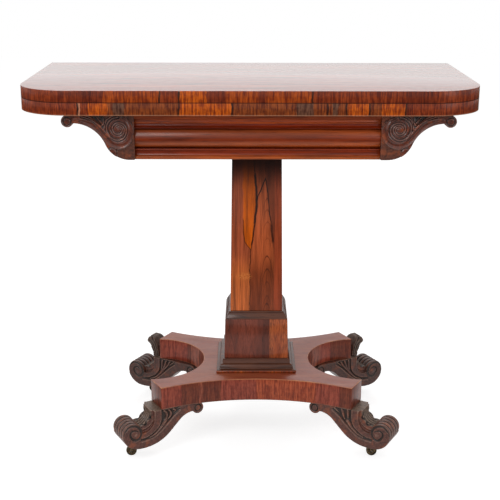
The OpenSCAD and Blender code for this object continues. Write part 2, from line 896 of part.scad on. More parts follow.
module foot_body() {
    difference() {
        union() {
            foot_slice(-leaf_w / 2, leaf_w / 2, leaf_hollow[0], leaf_hollow[1], hollow_r);
            for (side = [-1, 1]) {
                from = side > 0 ? leaf_w / 2 - eps : -foot_w / 2;
                to = side > 0 ? foot_w / 2 : -leaf_w / 2 + eps;
                foot_slice(from, to, side_hollow[0], side_hollow[1], side_hollow_r);
            }
            translate([0, 0, castor_h]) rotate([90, 0, 0]) for (side = [-1, 1])
                translate([0, 0, side * (foot_w / 2 + band_out / 2 - eps)])
                    linear_extrude(band_out, center = true) band_outline();
            roll();
            translate([-knob_in, 0, z_platform - knob_r]) rotate([90, 0, 0])
                cylinder(r = knob_r, h = foot_w + 2 * band_out, center = true);
            translate([-foot_tenon_in, 0, z_platform - 1]) cylinder(r = foot_tenon_r, h = foot_tenon_l + 1);
        }
        translate([castor_out, 0, castor_h - 1])
            cylinder(r = castor_plate_r + seat_fit, h = castor_plate_t + 1);
        translate([castor_out, 0, castor_h])
            cylinder(r = rivet_r + pass_gap, h = castor_plate_t + rivet_t + 2);
        castor_screw_pair(seat_fit);
        foot_screw(seat_fit);
        translate([-foot_screw_in, 0, z_platform - neck_t - 9])
            cylinder(r = long_screw[1] + seat_fit, h = 10 + eps);
    }
}

// The leaf that rises in front of the arm's end on a rear foot and curls outward at its rounded top
module rear_leaf() {
    curl_r = 9.5;
    curl_x = ledge + 7;
    curl_z = platform_t - curl_r;
    tongue_r = leaf_w / 2 + 3;
    root_x = ledge - 0.6;
    intersection() {
        translate([0, 0, z_platform - 1]) rotate([90, 0, 0]) linear_extrude(leaf_w, center = true)
            polygon(concat(
                [[ledge - 14, 0], [ledge - 13, curl_z * 0.35], [ledge - 10, curl_z * 0.7]],
                arc(curl_x, curl_z, curl_r, 170, -20, 12),
                [[ledge + 7, curl_z * 0.62], [ledge + 1.5, curl_z * 0.3], [ledge, 1],
                    [root_x, 0], [root_x, -10], [ledge - 6, -10]]));
        rotate([90, 0, 90]) linear_extrude(ledge + 2 * curl_r + 4) {
            translate([0, z_socle - tongue_r]) circle(r = tongue_r, $fn = 72);
            translate([-tongue_r, z_platform - 20]) square([2 * tongue_r, platform_t + 20 - tongue_r]);
        }
    }
}

module foot(rear) {
    color(carved) {
        foot_body();
        if (rear) rear_leaf();
    }
}

module foot_screws() {
    color(iron) each_foot() foot_screw();
}

// Castors

crown_t = 3;
crown_gap = 0.4;
rivet_r = 4.6;
rivet_t = 1.8;
stem_r = 3;
axle_r = 1.75;
cheek_t = 1.9;
cheek_gap = 0.6;
cheek_r = 4.5;

module castor_screw_pair(grow = 0) {
    for (side = [-1, 1])
        translate([castor_out, side * castor_plate_r * 0.66, castor_h])
            screw(small_screw, castor_screw_l, grow);
}

module castor_plates() {
    color(brass) each_foot() difference() {
        translate([castor_out, 0, castor_h]) cylinder(r = castor_plate_r, h = castor_plate_t - seat_fit);
        translate([castor_out, 0, castor_h - 1]) cylinder(r = stem_r + run_fit, h = castor_plate_t + 2);
        castor_screw_pair(seat_fit);
    }
}

module castor_screws() {
    color(brass) each_foot() castor_screw_pair();
}

// Swivel axis of a foot's castor; at rest the wheels trail to the left, and the rear left one to the right
module at_castor(side, depth) {
    turn = side > 0 ? depth * arm_angle : 180 - depth * arm_angle;
    trail_turn = side < 0 && depth > 0 ? 180 : 0;
    at_base() translate([side * arm_x + castor_out * cos(turn), depth * arm_y + castor_out * sin(turn), 0])
        rotate([0, 0, trail_turn]) children();
}

module fork() {
    z_crown = castor_h - crown_gap - crown_t;
    inner = wheel_w / 2 + cheek_gap;
    color(brass) {
        translate([0, 0, z_crown]) cylinder(r = inner + cheek_t, h = crown_t);
        translate([-trail, -inner - cheek_t, z_crown]) cube([trail, 2 * (inner + cheek_t), crown_t]);
        for (side = [-1, 1]) translate([-trail, side * (inner + cheek_t / 2), 0]) rotate([90, 0, 0])
            difference() {
                linear_extrude(cheek_t, center = true) {
                    translate([0, wheel_r]) circle(r = cheek_r);
                    polygon([[-cheek_r, wheel_r], [cheek_r, wheel_r],
                        [trail, z_crown + eps], [-cheek_r * 0.4, z_crown + eps]]);
                }
                translate([0, wheel_r, 0]) cylinder(r = axle_r + seat_fit, h = cheek_t + 1, center = true);
            }
        translate([0, 0, z_crown + crown_t - eps])
            cylinder(r = stem_r, h = castor_plate_t + crown_gap + rivet_t + 2 * eps);
        translate([0, 0, castor_h + castor_plate_t + seat_fit]) cylinder(r = rivet_r, h = rivet_t - seat_fit);
    }
}

// Axle pin, flush with the outside of the fork's cheeks
module axle() {
    color(iron) translate([-trail, 0, wheel_r]) rotate([90, 0, 0])
        cylinder(r = axle_r, h = wheel_w + 2 * (cheek_gap + cheek_t), center = true);
}

// Turned wheel with a slightly crowned rim and dished sides
module wheel() {
    half = wheel_w / 2;
    color(brass) translate([-trail, 0, wheel_r]) rotate([90, 0, 0]) rotate_extrude($fn = 72)
        polygon([[axle_r + run_fit, -half], [axle_r + 2, -half], [axle_r + 2.6, -half + 1.4],
            [wheel_r - 2.6, -half + 1.4], [wheel_r - 2, -half], [wheel_r - 0.7, -half],
            [wheel_r - 0.15, -half * 0.6], [wheel_r, -half * 0.3],
            [wheel_r, half * 0.3], [wheel_r - 0.15, half * 0.6],
            [wheel_r - 0.7, half], [wheel_r - 2, half], [wheel_r - 2.6, half - 1.4],
            [axle_r + 2.6, half - 1.4], [axle_r + 2, half], [axle_r + run_fit, half]]);
}

upper_leaf();
upper_baize();
lower_leaf();
lower_baize();
hinge_upper_left();
hinge_upper_right();
hinge_lower_left();
hinge_lower_right();
hinge_pins();
hinge_screws_upper();
hinge_screws_lower();
pivot_plate();
pivot_screws();
pivot_washer();
pivot_nut();
swivel_stop();
pivot_bearer();
frieze_front();
frieze_back();
frieze_end_left();
frieze_end_right();
well_floor();
floor_strips();
column_bearer();
bearer_screws();
glue_blocks();
cornice_moulding();
cushion_front();
cushion_back();
cushion_ends();
skirt_moulding();
bracket_front_left();
bracket_front_right();
bracket_rear_left();
bracket_rear_right();
column();
collar();
plinth_block();
plinth_moulding();
tenon_wedge();
platform();
at_foot(-1, -1) foot(false);  // foot_front_left
at_foot(1, -1) foot(false);  // foot_front_right
at_foot(-1, 1) foot(true);  // foot_rear_left
at_foot(1, 1) foot(true);  // foot_rear_right
foot_screws();
castor_plates();
castor_screws();
at_castor(-1, -1) fork();  // fork_front_left
at_castor(1, -1) fork();  // fork_front_right
at_castor(-1, 1) fork();  // fork_rear_left
at_castor(1, 1) fork();  // fork_rear_right
at_castor(-1, -1) axle();  // axle_front_left
at_castor(1, -1) axle();  // axle_front_right
at_castor(-1, 1) axle();  // axle_rear_left
at_castor(1, 1) axle();  // axle_rear_right
at_castor(-1, -1) wheel();  // wheel_front_left
at_castor(1, -1) wheel();  // wheel_front_right
at_castor(-1, 1) wheel();  // wheel_rear_left
at_castor(1, 1) wheel();  // wheel_rear_right
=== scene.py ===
import json
import math
from functools import partial

import bpy
import numpy as np
from mathutils import Euler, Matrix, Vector


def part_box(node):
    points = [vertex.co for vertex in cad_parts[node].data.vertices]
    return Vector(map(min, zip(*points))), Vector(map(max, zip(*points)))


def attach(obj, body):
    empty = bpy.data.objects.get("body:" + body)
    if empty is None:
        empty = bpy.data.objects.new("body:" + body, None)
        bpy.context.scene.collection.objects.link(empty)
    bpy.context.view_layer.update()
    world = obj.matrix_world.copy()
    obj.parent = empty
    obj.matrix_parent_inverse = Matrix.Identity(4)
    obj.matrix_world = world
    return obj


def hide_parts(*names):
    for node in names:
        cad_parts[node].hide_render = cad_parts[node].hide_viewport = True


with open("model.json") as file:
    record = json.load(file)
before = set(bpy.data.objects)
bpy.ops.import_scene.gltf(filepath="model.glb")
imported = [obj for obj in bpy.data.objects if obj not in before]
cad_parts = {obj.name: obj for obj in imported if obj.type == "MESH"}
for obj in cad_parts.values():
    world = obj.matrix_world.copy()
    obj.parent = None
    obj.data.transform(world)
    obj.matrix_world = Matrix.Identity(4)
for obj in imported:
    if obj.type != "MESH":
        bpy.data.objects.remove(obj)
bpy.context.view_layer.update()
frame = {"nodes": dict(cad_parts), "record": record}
print("frame loaded:", len(frame["nodes"]), "nodes")

studio = {
    "cameraPlace": (-0.00704, -2.1709, 1.04641),
    "cameraTurn": (73.37, -0.115, -0.1657),  # degrees
    "cameraLens": 76.7,
    "roomLight": 0.55,  # what the white room gives to a matt surface
    # name, place, point it faces, width, height, watts
    "lamps": [
        ("keySoftbox", (-1.7, -2.4, 2.3), (0, 0, 0.5), 1.5, 1.5, 42),
        ("fillSoftbox", (2.3, -2.0, 1.3), (0, 0, 0.45), 1.6, 1.6, 16),
        ("rearSoftbox", (0, 2.4, 2.6), (0, 0, 0.5), 3.0, 1.2, 34),
    ],
    "floorSize": 14,
    "floorGlow": 0.72,
    "paperFade": (0.7, 1.5),  # metres from the table where the paper ends
    "floorColour": "#bcbcbc",
}


def linearColour(code):
    parts = [int(code[i:i + 2], 16) / 255 for i in (1, 3, 5)]
    return tuple(c / 12.92 if c <= 0.04045 else ((c + 0.055) / 1.055) ** 2.4 for c in parts) + (1.0,)


smooth = {"interpolation_type": "SMOOTHSTEP"}
rgba = {"data_type": "RGBA"}


# An input is a number, a vector, a colour code, a socket, or a node that stands for its main
# output; a pair under From or To fills its Min and Max. A word alone as settings is the operation.
def addNode(tree, kind, inputs={}, settings={}):
    added = tree.nodes.new("ShaderNode" + kind)
    if isinstance(settings, str):
        settings = {"operation": settings}
    for key, value in settings.items():
        setattr(added, key, value)
    for key, value in inputs.items():
        if key in ("From", "To"):
            added.inputs[key + " Min"].default_value, added.inputs[key + " Max"].default_value = value
            continue
        if isinstance(value, bpy.types.Node):
            value = value.outputs[2 if value.type == "MIX" else 0]
        if isinstance(value, bpy.types.NodeSocket):
            tree.links.new(value, added.inputs[key])
        else:
            added.inputs[key].default_value = linearColour(value) if isinstance(value, str) else value
    return added


def fillRamp(node, stops, interpolation="LINEAR"):
    ramp = node.color_ramp
    ramp.interpolation = interpolation
    for element, (spot, colour) in zip(list(ramp.elements), stops):
        element.position = spot
        element.color = colour
    for spot, colour in stops[2:]:
        ramp.elements.new(spot).color = colour


def startMaterial(name):
    material = bpy.data.materials.new(name)
    material.use_nodes = True
    material.node_tree.nodes.clear()
    return material, partial(addNode, material.node_tree)


def closeMaterial(material, surface):
    addNode(material.node_tree, "OutputMaterial", {"Surface": surface})
    return material


# 1 for a ray that sees or mirrors the surface, and 0 for one that only carries its light
def seenOrMirrored(add):
    rays = add("LightPath")
    seen = add("Math", {0: rays.outputs["Is Camera Ray"], 1: rays.outputs["Is Glossy Ray"]}, "MAXIMUM")
    seen = add("Math", {0: seen, 1: rays.outputs["Is Transmission Ray"]}, "MAXIMUM")
    return rays, seen


def deselectAll():
    if bpy.context.mode != "OBJECT":
        bpy.ops.object.mode_set(mode="OBJECT")
    bpy.ops.object.select_all(action="DESELECT")


def pick(piece):
    deselectAll()
    piece.select_set(True)
    bpy.context.view_layer.objects.active = piece


def buildStudio():
    scene = bpy.context.scene
    scene.view_settings.view_transform = "Standard"
    deselectAll()
    turn = [math.radians(a) for a in studio["cameraTurn"]]
    bpy.ops.object.camera_add(location=studio["cameraPlace"], rotation=turn)
    camera = bpy.context.object
    camera.name = "photoCamera"
    camera.data.lens = studio["cameraLens"]
    camera.data.sensor_width = 36
    scene.camera = camera

    for name, place, target, width, height, watts in studio["lamps"]:
        bpy.ops.object.light_add(type="AREA", location=place)
        lamp = bpy.context.object
        lamp.name = name
        lamp.data.shape = "RECTANGLE"
        lamp.data.size = width
        lamp.data.size_y = height
        lamp.data.energy = watts
        lamp.rotation_euler = (Vector(target) - Vector(place)).to_track_quat("-Z", "Y").to_euler()

    # a white room: full white where it is seen or mirrored, softer as a light
    world = bpy.data.worlds.new("whiteRoom")
    world.use_nodes = True
    scene.world = world
    world.node_tree.nodes.clear()
    add = partial(addNode, world.node_tree)
    rays, seen = seenOrMirrored(add)
    strength = add("MapRange", {"Value": seen, "To Min": studio["roomLight"]})
    room = add("Background", {"Color": (1, 1, 1, 1), "Strength": strength})
    add("OutputWorld", {"Surface": room})

    # pale floor: partly glowing where it is seen, so that it stays white but keeps the soft shadow
    material, add = startMaterial("paleStudioFloor")
    rays, seen = seenOrMirrored(add)
    glow = add("Math", {0: seen, 1: studio["floorGlow"]}, "MULTIPLY")
    paint = add("BsdfDiffuse", {"Color": studio["floorColour"]})
    glowing = add("Emission", {"Color": (1, 1, 1, 1), "Strength": glow})
    both = add("AddShader", {0: paint, 1: glowing})
    # the polish mirrors the white paper near the table, and the unlit studio floor beyond it
    place = add("NewGeometry")
    reach = add("VectorMath", {0: place.outputs["Position"]}, "LENGTH")
    near, far = studio["paperFade"]
    beyond = add("MapRange", {"Value": reach.outputs["Value"], "From": (near, far)}, smooth)
    unlit = add("Math", {0: beyond, 1: rays.outputs["Is Glossy Ray"]}, "MULTIPLY")
    dim = add("Emission", {"Color": (0.02, 0.02, 0.02, 1), "Strength": 1.0})
    shown = add("MixShader", {0: unlit, 1: both, 2: dim})
    add("OutputMaterial", {"Surface": shown})
    bpy.ops.mesh.primitive_plane_add(size=studio["floorSize"])
    floor = bpy.context.object
    floor.name = "studioFloor"
    floor.data.materials.append(material)
    print("studio ready")


buildStudio()

mm = 0.001


# Rosewood veneer under French polish: dark veins and open pores that run with the grain,
# in a red-brown ground with warmer orange patches, below a clear glossy coat.
def rosewood(name, look):
    material, add = startMaterial(name)
    place = add("TexCoord").outputs["Object"]
    stretch = [1 / look["stretch"] if axis == look["grain"] else 1 for axis in "XYZ"]
    laid = add("Mapping", {"Vector": place, "Location": look["offset"], "Scale": stretch})
    bend = add("TexNoise", {"Vector": laid, "Scale": 1 / look["waveSize"], "Detail": 1.0})
    bend = add("VectorMath", {0: bend.outputs["Color"], "Scale": look["waveAmount"]}, "SCALE")
    wavy = add("VectorMath", {0: laid, 1: bend}, "ADD")

    patches = add("TexNoise", {"Vector": laid, "Scale": 1 / look["patchSize"], "Detail": 2.0,
            "Roughness": 0.55})
    patches = add("MapRange", {"Value": patches, "From": (0.42, 0.62)}, smooth)
    ground = add("Mix", {0: patches, 6: look["ground"], 7: look["warm"]}, rgba)
    bands = add("TexNoise", {"Vector": wavy, "Scale": 1 / look["bandSize"], "Detail": 5.0,
            "Roughness": 0.62})
    bands = add("MapRange", {"Value": bands, "From": (0.40, 0.66), "To Max": look["bandDepth"]}, smooth)
    banded = add("Mix", {0: bands, 6: ground, 7: look["dark"]}, rgba)

    # thin near-black veins where a slow noise passes its middle value
    veins = add("TexNoise", {"Vector": wavy, "Scale": 1 / look["veinSize"], "Detail": 3.0,
            "Distortion": 0.4})
    veins = add("Math", {0: veins, 1: 0.5}, "SUBTRACT")
    veins = add("Math", {0: veins}, "ABSOLUTE")
    veins = add("MapRange", {"Value": veins, "From Max": 0.03, "To": (look["veinDepth"], 0.0)}, smooth)
    veined = add("Mix", {0: veins, 6: banded, 7: "#1c0c08"}, rgba)

    # pores, drawn about 1 mm wide so that they show
    poreMap = add("VectorMath", {0: laid, "Scale": 1 / (1.3 * mm)}, "SCALE")
    pores = add("TexNoise", {"Vector": poreMap, "Scale": 1.0, "Detail": 1.0})
    poreFill = add("MapRange", {"Value": pores, "From": (0.56, 0.74), "To Max": look["poreDepth"]}, smooth)
    finished = add("Mix", {0: poreFill, 6: veined, 7: "#260f09"}, rgba)

    # painted highlights and painted shade that a moulding takes at each height, where the light falls on its
    # curves, and a thin pale line where polish wears off
    if "lightAndShadeByHeight" in look:
        parts = add("SeparateXYZ", {"Vector": place})
        heights = look["lightAndShadeByHeight"]
        low, high = heights[0][0], heights[-1][0]
        level = add("MapRange", {"Value": parts.outputs["Z"], "From": (low * mm, high * mm)})
        tones = add("ValToRGB", {0: level})
        fillRamp(tones, [((height - low) / (high - low), tone + (1,)) for height, tone in heights])
        litByHeight = add("VectorMath", {0: finished, 1: tones}, "MULTIPLY")
        finished = add("VectorMath", {0: litByHeight, "Scale": 2.0}, "SCALE")

    ripple = add("TexNoise", {"Vector": place, "Scale": 1 / (22 * mm), "Detail": 2.0})
    wear = add("MapRange", {"Value": ripple, "To": (look["roughness"] - 0.06, look["roughness"] + 0.08)})
    unevenness = add("Math", {0: poreFill, 1: -0.12, 2: ripple}, "MULTIPLY_ADD")
    bump = add("Bump", {"Height": unevenness, "Strength": look["unevenness"], "Distance": 0.6 * mm})
    surface = add("BsdfPrincipled", {"Base Color": finished, "Roughness": wear, "Normal": bump,
            "IOR": 1.5, "Specular IOR Level": look["shine"], "Coat Weight": look["coat"],
            "Coat Roughness": look["coatRoughness"], "Coat Normal": bump})
    return closeMaterial(material, surface)


# Crossbanding: pieces of veneer laid side by side with the grain upright, each from another
# part of the log, so their colours jump at dark glued joints.
def crossbanding(name, look):
    material, add = startMaterial(name)
    rim = add("UVMap", {}, {"uv_map": "rim"})
    parts = add("SeparateXYZ", {"Vector": rim})
    wander = add("TexNoise", {"Vector": rim, "Scale": 1 / (14 * mm), "Detail": 1.0})
    wander = add("MapRange", {"Value": wander, "To": (-2.2 * mm, 2.2 * mm)})
    along = add("Math", {0: parts.outputs["X"], 1: wander}, "ADD")
    reach, tones = look["reach"], {tone: linearColour(code) for tone, code in look["tones"].items()}
    spread = add("MapRange", {"Value": along, "From": (-reach, reach)})
    ramp = add("ValToRGB", {0: spread})
    stops = [((start * mm + reach) / (2 * reach), tones[tone]) for start, tone in look["pieces"]]
    fillRamp(ramp, stops, "CONSTANT")

    # the ends and the back, which the list of pieces doesn't reach
    cell = add("TexVoronoi", {"W": along, "Scale": 1 / (62 * mm), "Randomness": 0.9},
            {"voronoi_dimensions": "1D"})
    pieceTone = add("SeparateColor", {0: cell.outputs["Color"]})
    unseen = add("ValToRGB", {0: pieceTone})
    stops = [(0, tones["red"]), (0.3, tones["dark"]), (0.5, tones["brown"]), (0.82, tones["amber"])]
    fillRamp(unseen, stops, "CONSTANT")
    edge = add("TexVoronoi", {"W": along, "Scale": 1 / (62 * mm), "Randomness": 0.9},
            {"voronoi_dimensions": "1D", "feature": "DISTANCE_TO_EDGE"})
    joint = add("Math", {0: edge.outputs["Distance"], 1: 0.008}, "LESS_THAN")
    unseenJointed = add("Mix", {0: joint, 6: unseen, 7: "#200e08"}, rgba)
    beyond = add("Math", {0: parts.outputs["X"]}, "ABSOLUTE")
    beyond = add("Math", {0: beyond, 1: reach * 0.995}, "GREATER_THAN")
    pieces = add("Mix", {0: beyond, 6: ramp, 7: unseenJointed}, rgba)

    # upright figure: broad mottle, streaks about 2 mm apart and fine pores
    mottle = add("TexNoise", {"Vector": rim, "Scale": 1 / (11 * mm), "Detail": 3.0, "Roughness": 0.6})
    upright = add("Mapping", {"Vector": rim, "Scale": (1, 0.07, 1)})
    streaks = add("TexNoise", {"Vector": upright, "Scale": 1 / (3.4 * mm), "Detail": 4.0, "Roughness": 0.7})
    figure = add("Math", {0: mottle, 1: 0.3, 2: streaks}, "MULTIPLY_ADD")
    figure = add("MapRange", {"Value": figure, "From": (0.52, 0.78)}, smooth)
    shade = add("Mix", {0: figure, 6: look["strokes"], 7: (1.15, 1.08, 0.95, 1)}, rgba)
    figured = add("Mix", {0: 1.0, 6: pieces, 7: shade}, {"data_type": "RGBA", "blend_type": "MULTIPLY"})
    pores = add("TexNoise", {"Vector": upright, "Scale": 1 / (1.1 * mm), "Detail": 1.0})
    poreFill = add("MapRange", {"Value": pores, "From": (0.55, 0.72), "To Max": 0.6}, smooth)
    finished = add("Mix", {0: poreFill, 6: figured, 7: "#2c120a"}, rgba)
    # the lower arris: rubbed pale where it is worn, and on the upper leaf a painted shade, dark where it
    # meets the lower leaf
    wearAndPaintedLight = add("MapRange", {"Value": parts.outputs["Y"], "From": (look["arrisHeight"] + 0.9 * mm,
            look["arrisHeight"] + 2.4 * mm), "To": (look["arrisWearAndShade"], 0.0)}, smooth)
    finished = add("Mix", {0: wearAndPaintedLight, 6: finished, 7: look["arrisWearAndShadeTone"]}, rgba)
    bump = add("Bump", {"Height": mottle, "Strength": 0.12, "Distance": 0.5 * mm})
    surface = add("BsdfPrincipled", {"Base Color": finished, "Roughness": 0.38, "Normal": bump,
            "IOR": 1.5, "Specular IOR Level": 0.2, "Coat Weight": 0.15, "Coat Roughness": 0.12})
    return closeMaterial(material, surface)


# Bare or stained timber of the parts that nobody sees, sawn and planed, never polished
def plainTimber(name, pale, deep):
    material, add = startMaterial(name)
    place = add("TexCoord").outputs["Object"]
    laid = add("Mapping", {"Vector": place, "Scale": (0.12, 1, 1)})
    rings = add("TexNoise", {"Vector": laid, "Scale": 1 / (9 * mm), "Detail": 4.0, "Distortion": 0.8})
    rings = add("MapRange", {"Value": rings, "From": (0.35, 0.65)})
    colour = add("Mix", {0: rings, 6: pale, 7: deep}, rgba)
    bump = add("Bump", {"Height": rings, "Strength": 0.2, "Distance": 0.3 * mm})
    surface = add("BsdfPrincipled", {"Base Color": colour, "Roughness": 0.68, "Normal": bump})
    return closeMaterial(material, surface)


# Metals: cast or wrought, rubbed bright on the high spots and brown where dirt has settled
def agedMetal(name, bright, tarnish, roughness, metallic):
    material, add = startMaterial(name)
    place = add("TexCoord").outputs["Object"]
    spots = add("TexNoise", {"Vector": place, "Scale": 1 / (4 * mm), "Detail": 5.0, "Roughness": 0.65})
    cover = add("MapRange", {"Value": spots, "From": (0.38, 0.6)}, smooth)
    colour = add("Mix", {0: cover, 6: bright, 7: tarnish}, rgba)
    rough = add("MapRange", {"Value": cover, "To": (roughness, roughness + 0.25)})
    bump = add("Bump", {"Height": spots, "Strength": 0.15, "Distance": 0.2 * mm})
    surface = add("BsdfPrincipled", {"Base Color": colour, "Metallic": metallic, "Roughness": rough,
            "Normal": bump})
    return closeMaterial(material, surface)


# Baize: felted green wool, worn paler in soft patches, with fibres about half a millimetre apart
def feltedBaize(name):
    material, add = startMaterial(name)
    place = add("TexCoord").outputs["Object"]
    fibres = add("TexNoise", {"Vector": place, "Scale": 1 / (0.9 * mm), "Detail": 3.0, "Roughness": 0.7})
    worn = add("TexNoise", {"Vector": place, "Scale": 1 / (90 * mm), "Detail": 3.0})
    worn = add("MapRange", {"Value": worn, "From": (0.4, 0.8), "To Max": 0.3}, smooth)
    base = add("Mix", {0: worn, 6: "#2c5a3b", 7: "#5d7a55"}, rgba)
    colour = add("Mix", {0: 0.5, 6: base, 7: fibres.outputs["Color"]}, {"data_type": "RGBA",
            "blend_type": "OVERLAY"})
    bump = add("Bump", {"Height": fibres, "Strength": 0.5, "Distance": 0.3 * mm})
    surface = add("BsdfPrincipled", {"Base Color": colour, "Roughness": 0.95, "Sheen Weight": 0.4,
            "Sheen Roughness": 0.5, "Normal": bump})
    return closeMaterial(material, surface)


# Carved rosewood: solid wood, waxed once and worn since, dusty grey in the deep leaf work; painted shade
# darkens the cuts, and the high places are rubbed to a warmer brown with a painted highlight on the crests
def carvedRosewood(name, look):
    material, add = startMaterial(name)
    place = add("TexCoord").outputs["Object"]
    shape = add("NewGeometry")
    relief = add("Attribute", {}, {"attribute_name": "relief"}).outputs["Fac"]
    redness = add("Attribute", {}, {"attribute_name": "redness"}).outputs["Fac"]
    grain = add("TexNoise", {"Vector": place, "Scale": 1 / (5 * mm), "Detail": 5.0, "Roughness": 0.75})
    grain = add("MapRange", {"Value": grain, "From": (0.33, 0.67)})
    patches = add("TexNoise", {"Vector": place, "Scale": 1 / (16 * mm), "Detail": 3.0})
    dusty = add("Mix", {0: grain, 6: "#42342b", 7: "#826c5a"}, rgba)
    red = add("Mix", {0: grain, 6: look["deep"], 7: look["red"]}, rgba)
    worn = add("MapRange", {"Value": patches, "From": (0.52, 0.68), "To Max": 0.75}, smooth)
    red = add("Mix", {0: worn, 6: red, 7: look["warm"]}, rgba)
    ground = add("Mix", {0: redness, 6: dusty, 7: red}, rgba)
    # painted shade, darker the deeper the cut
    depth = add("MapRange", {"Value": relief, "From": (0.0, 0.6), "To": (0.93, 0.0)}, smooth)
    shadedCuts = add("Mix", {0: depth, 6: ground, 7: "#1d120e"}, rgba)
    # the edges and crests made paler, partly wear and partly a painted highlight
    wearAndPaintedLight = add("MapRange", {"Value": shape.outputs["Pointiness"], "From": (0.515, 0.60), "To Max": 0.7},
            smooth)
    crestHighlight = add("MapRange", {"Value": relief, "From": (0.76, 1.0), "To Max": 0.65}, smooth)
    crestHighlight = add("Math", {0: crestHighlight, 1: grain}, "MULTIPLY")
    wearAndPaintedLight = add("Math", {0: wearAndPaintedLight, 1: crestHighlight}, "MAXIMUM")
    colour = add("Mix", {0: wearAndPaintedLight, 6: shadedCuts, 7: look["wearAndPaintedLight"]}, rgba)
    bump = add("Bump", {"Height": grain, "Strength": 0.3, "Distance": 0.4 * mm})
    surface = add("BsdfPrincipled", {"Base Color": colour, "Roughness": 0.5, "Normal": bump,
            "Specular IOR Level": 0.3, "Coat Weight": look["polish"], "Coat Roughness": 0.16})
    return closeMaterial(material, surface)


# The pillar's front: a bright strip that narrows to a V between two dark cracks, flame arches
# to the right of it, and below the V an upright glued joint between a pale and a dark sheet
def pillarFront(name, look):
    material, add = startMaterial(name)
    place = add("TexCoord").outputs["Object"]
    laid = add("Mapping", {"Vector": place, "Scale": (1, 1, 0.05)})
    streaks = add("TexNoise", {"Vector": laid, "Scale": 1 / (3.6 * mm), "Detail": 5.0, "Roughness": 0.7})
    wander = add("TexNoise", {"Vector": place, "Scale": 1 / (24 * mm), "Detail": 2.0})
    parts = add("SeparateXYZ", {"Vector": place})
    height = parts.outputs["Z"]
    shift = add("MapRange", {"Value": wander, "To": (-3 * mm, 3 * mm)})
    across = add("Math", {0: parts.outputs["X"], 1: shift}, "ADD")
    low, high = look["heights"]
    black = (0, 0, 0, 1)
    upward = add("MapRange", {"Value": height, "From": (low, high)})
    beside = {}
    for route in ("leftCrack", "rightCrack", "archLeft", "archRight"):
        curve = add("FloatCurve", {"Value": upward})
        points = curve.mapping.curves[0].points
        knots = [((z * mm - low) / (high - low), x / 200 + 0.5) for z, x in look[route]]
        points[0].location, points[1].location = knots[0], knots[-1]
        for knot in knots[1:-1]:
            points.new(*knot)
        curve.mapping.update()
        line = add("MapRange", {"Value": curve, "To": (-0.1, 0.1)})
        beside[route] = add("Math", {0: across, 1: line}, "SUBTRACT")
    rightOfLeft = add("MapRange", {"Value": beside["leftCrack"], "From": (-2 * mm, 2 * mm)}, smooth)
    rightOfRight = add("MapRange", {"Value": beside["rightCrack"], "From": (-0.6 * mm, 0.6 * mm)}, smooth)
    sheets = []
    for left, right in ((look["lowLeft"], look["lowRight"]), (look["topLeft"], look["topRight"])):
        sheets.append(add("Mix", {0: rightOfRight, 6: left, 7: right}, rgba))
    strip = add("Math", {0: rightOfLeft, 1: rightOfRight}, {"operation": "SUBTRACT", "use_clamp": True})
    striped = add("Mix", {0: strip, 6: sheets[1], 7: look["strip"]}, rgba)
    rising = add("MapRange", {"Value": height, "From": (look["vHeight"] - 60 * mm, look["vHeight"])},
            smooth)
    ground = add("Mix", {0: rising, 6: sheets[0], 7: striped}, rgba)
    broad = add("TexNoise", {"Vector": laid, "Scale": 1 / (11 * mm), "Detail": 2.0, "Distortion": 0.3})
    mixed = add("Math", {0: broad, 1: 0.8, 2: streaks}, "MULTIPLY_ADD")
    shade = add("MapRange", {"Value": mixed, "From": (0.68, 1.08), "To": (0.5, 1.4)})
    figured = add("VectorMath", {0: ground, "Scale": shade}, "SCALE")

    # flame arches, one above the other: lines of equal height in a bowl
    bowl = add("Math", {0: across, 1: look["flameMiddle"]}, "SUBTRACT")
    bowl = add("Math", {0: bowl, 1: 2.0}, "POWER")
    arch = add("Math", {0: bowl, 1: look["flameSteepness"], 2: height}, "MULTIPLY_ADD")
    arch = add("MapRange", {"Value": arch, "From": (low, high)})
    arches = add("ValToRGB", {0: arch})
    stops = []
    for apex, strength in look["flames"]:
        spot = (apex * mm - low) / (high - low)
        stops += [(spot - 0.008, black), (spot, (strength, strength, strength, 1)), (spot + 0.004, black)]
    fillRamp(arches, [(0, black)] + stops + [(1, black)])
    inFlame = add("Math", {0: arches, 1: rightOfRight}, "MULTIPLY")
    flamed = add("Mix", {0: inFlame, 6: figured, 7: look["line"]}, rgba)
    edgeStrip = add("MapRange", {"Value": across, "From": (look["rightSheet"] - 1 * mm,
            look["rightSheet"] + 1 * mm)}, smooth)
    # dark wood between the tall arch and the straight joint beside it
    shadow = add("MapRange", {"Value": beside["archRight"], "From": (-2 * mm, 2 * mm), "To Max": 0.7},
            smooth)
    shadow = add("Math", {0: shadow, 1: rising}, "MULTIPLY")
    cracked = add("Mix", {0: shadow, 6: flamed, 7: "#5a2616"}, rgba)
    edged = add("VectorMath", {0: sheets[1], "Scale": shade}, "SCALE")
    edged = add("Mix", {0: 1.0, 6: edged, 7: "#d0c0c8"}, {"data_type": "RGBA", "blend_type": "MULTIPLY"})
    cracked = add("Mix", {0: edgeStrip, 6: cracked, 7: edged}, rgba)

    # the cracks, the joint and the tall arch: route, half its width, strength, heights between which it shows
    for route, halfWidth, strength, foot, head in look["drawn"]:
        off = add("Math", {0: beside[route]}, "ABSOLUTE")
        ink = add("MapRange", {"Value": off, "From": (halfWidth * 0.5 * mm, halfWidth * 1.5 * mm),
                "To": (strength, 0.0)}, smooth)
        above = add("MapRange", {"Value": height, "From": ((foot - 4) * mm, (foot + 4) * mm)}, smooth)
        below = add("MapRange", {"Value": height, "From": ((head - 4) * mm, (head + 4) * mm), "To": (1.0,
                0.0)}, smooth)
        shown = add("Math", {0: above, 1: below}, "MULTIPLY")
        ink = add("Math", {0: ink, 1: shown}, "MULTIPLY")
        cracked = add("Mix", {0: ink, 6: cracked, 7: look["line"]}, rgba)
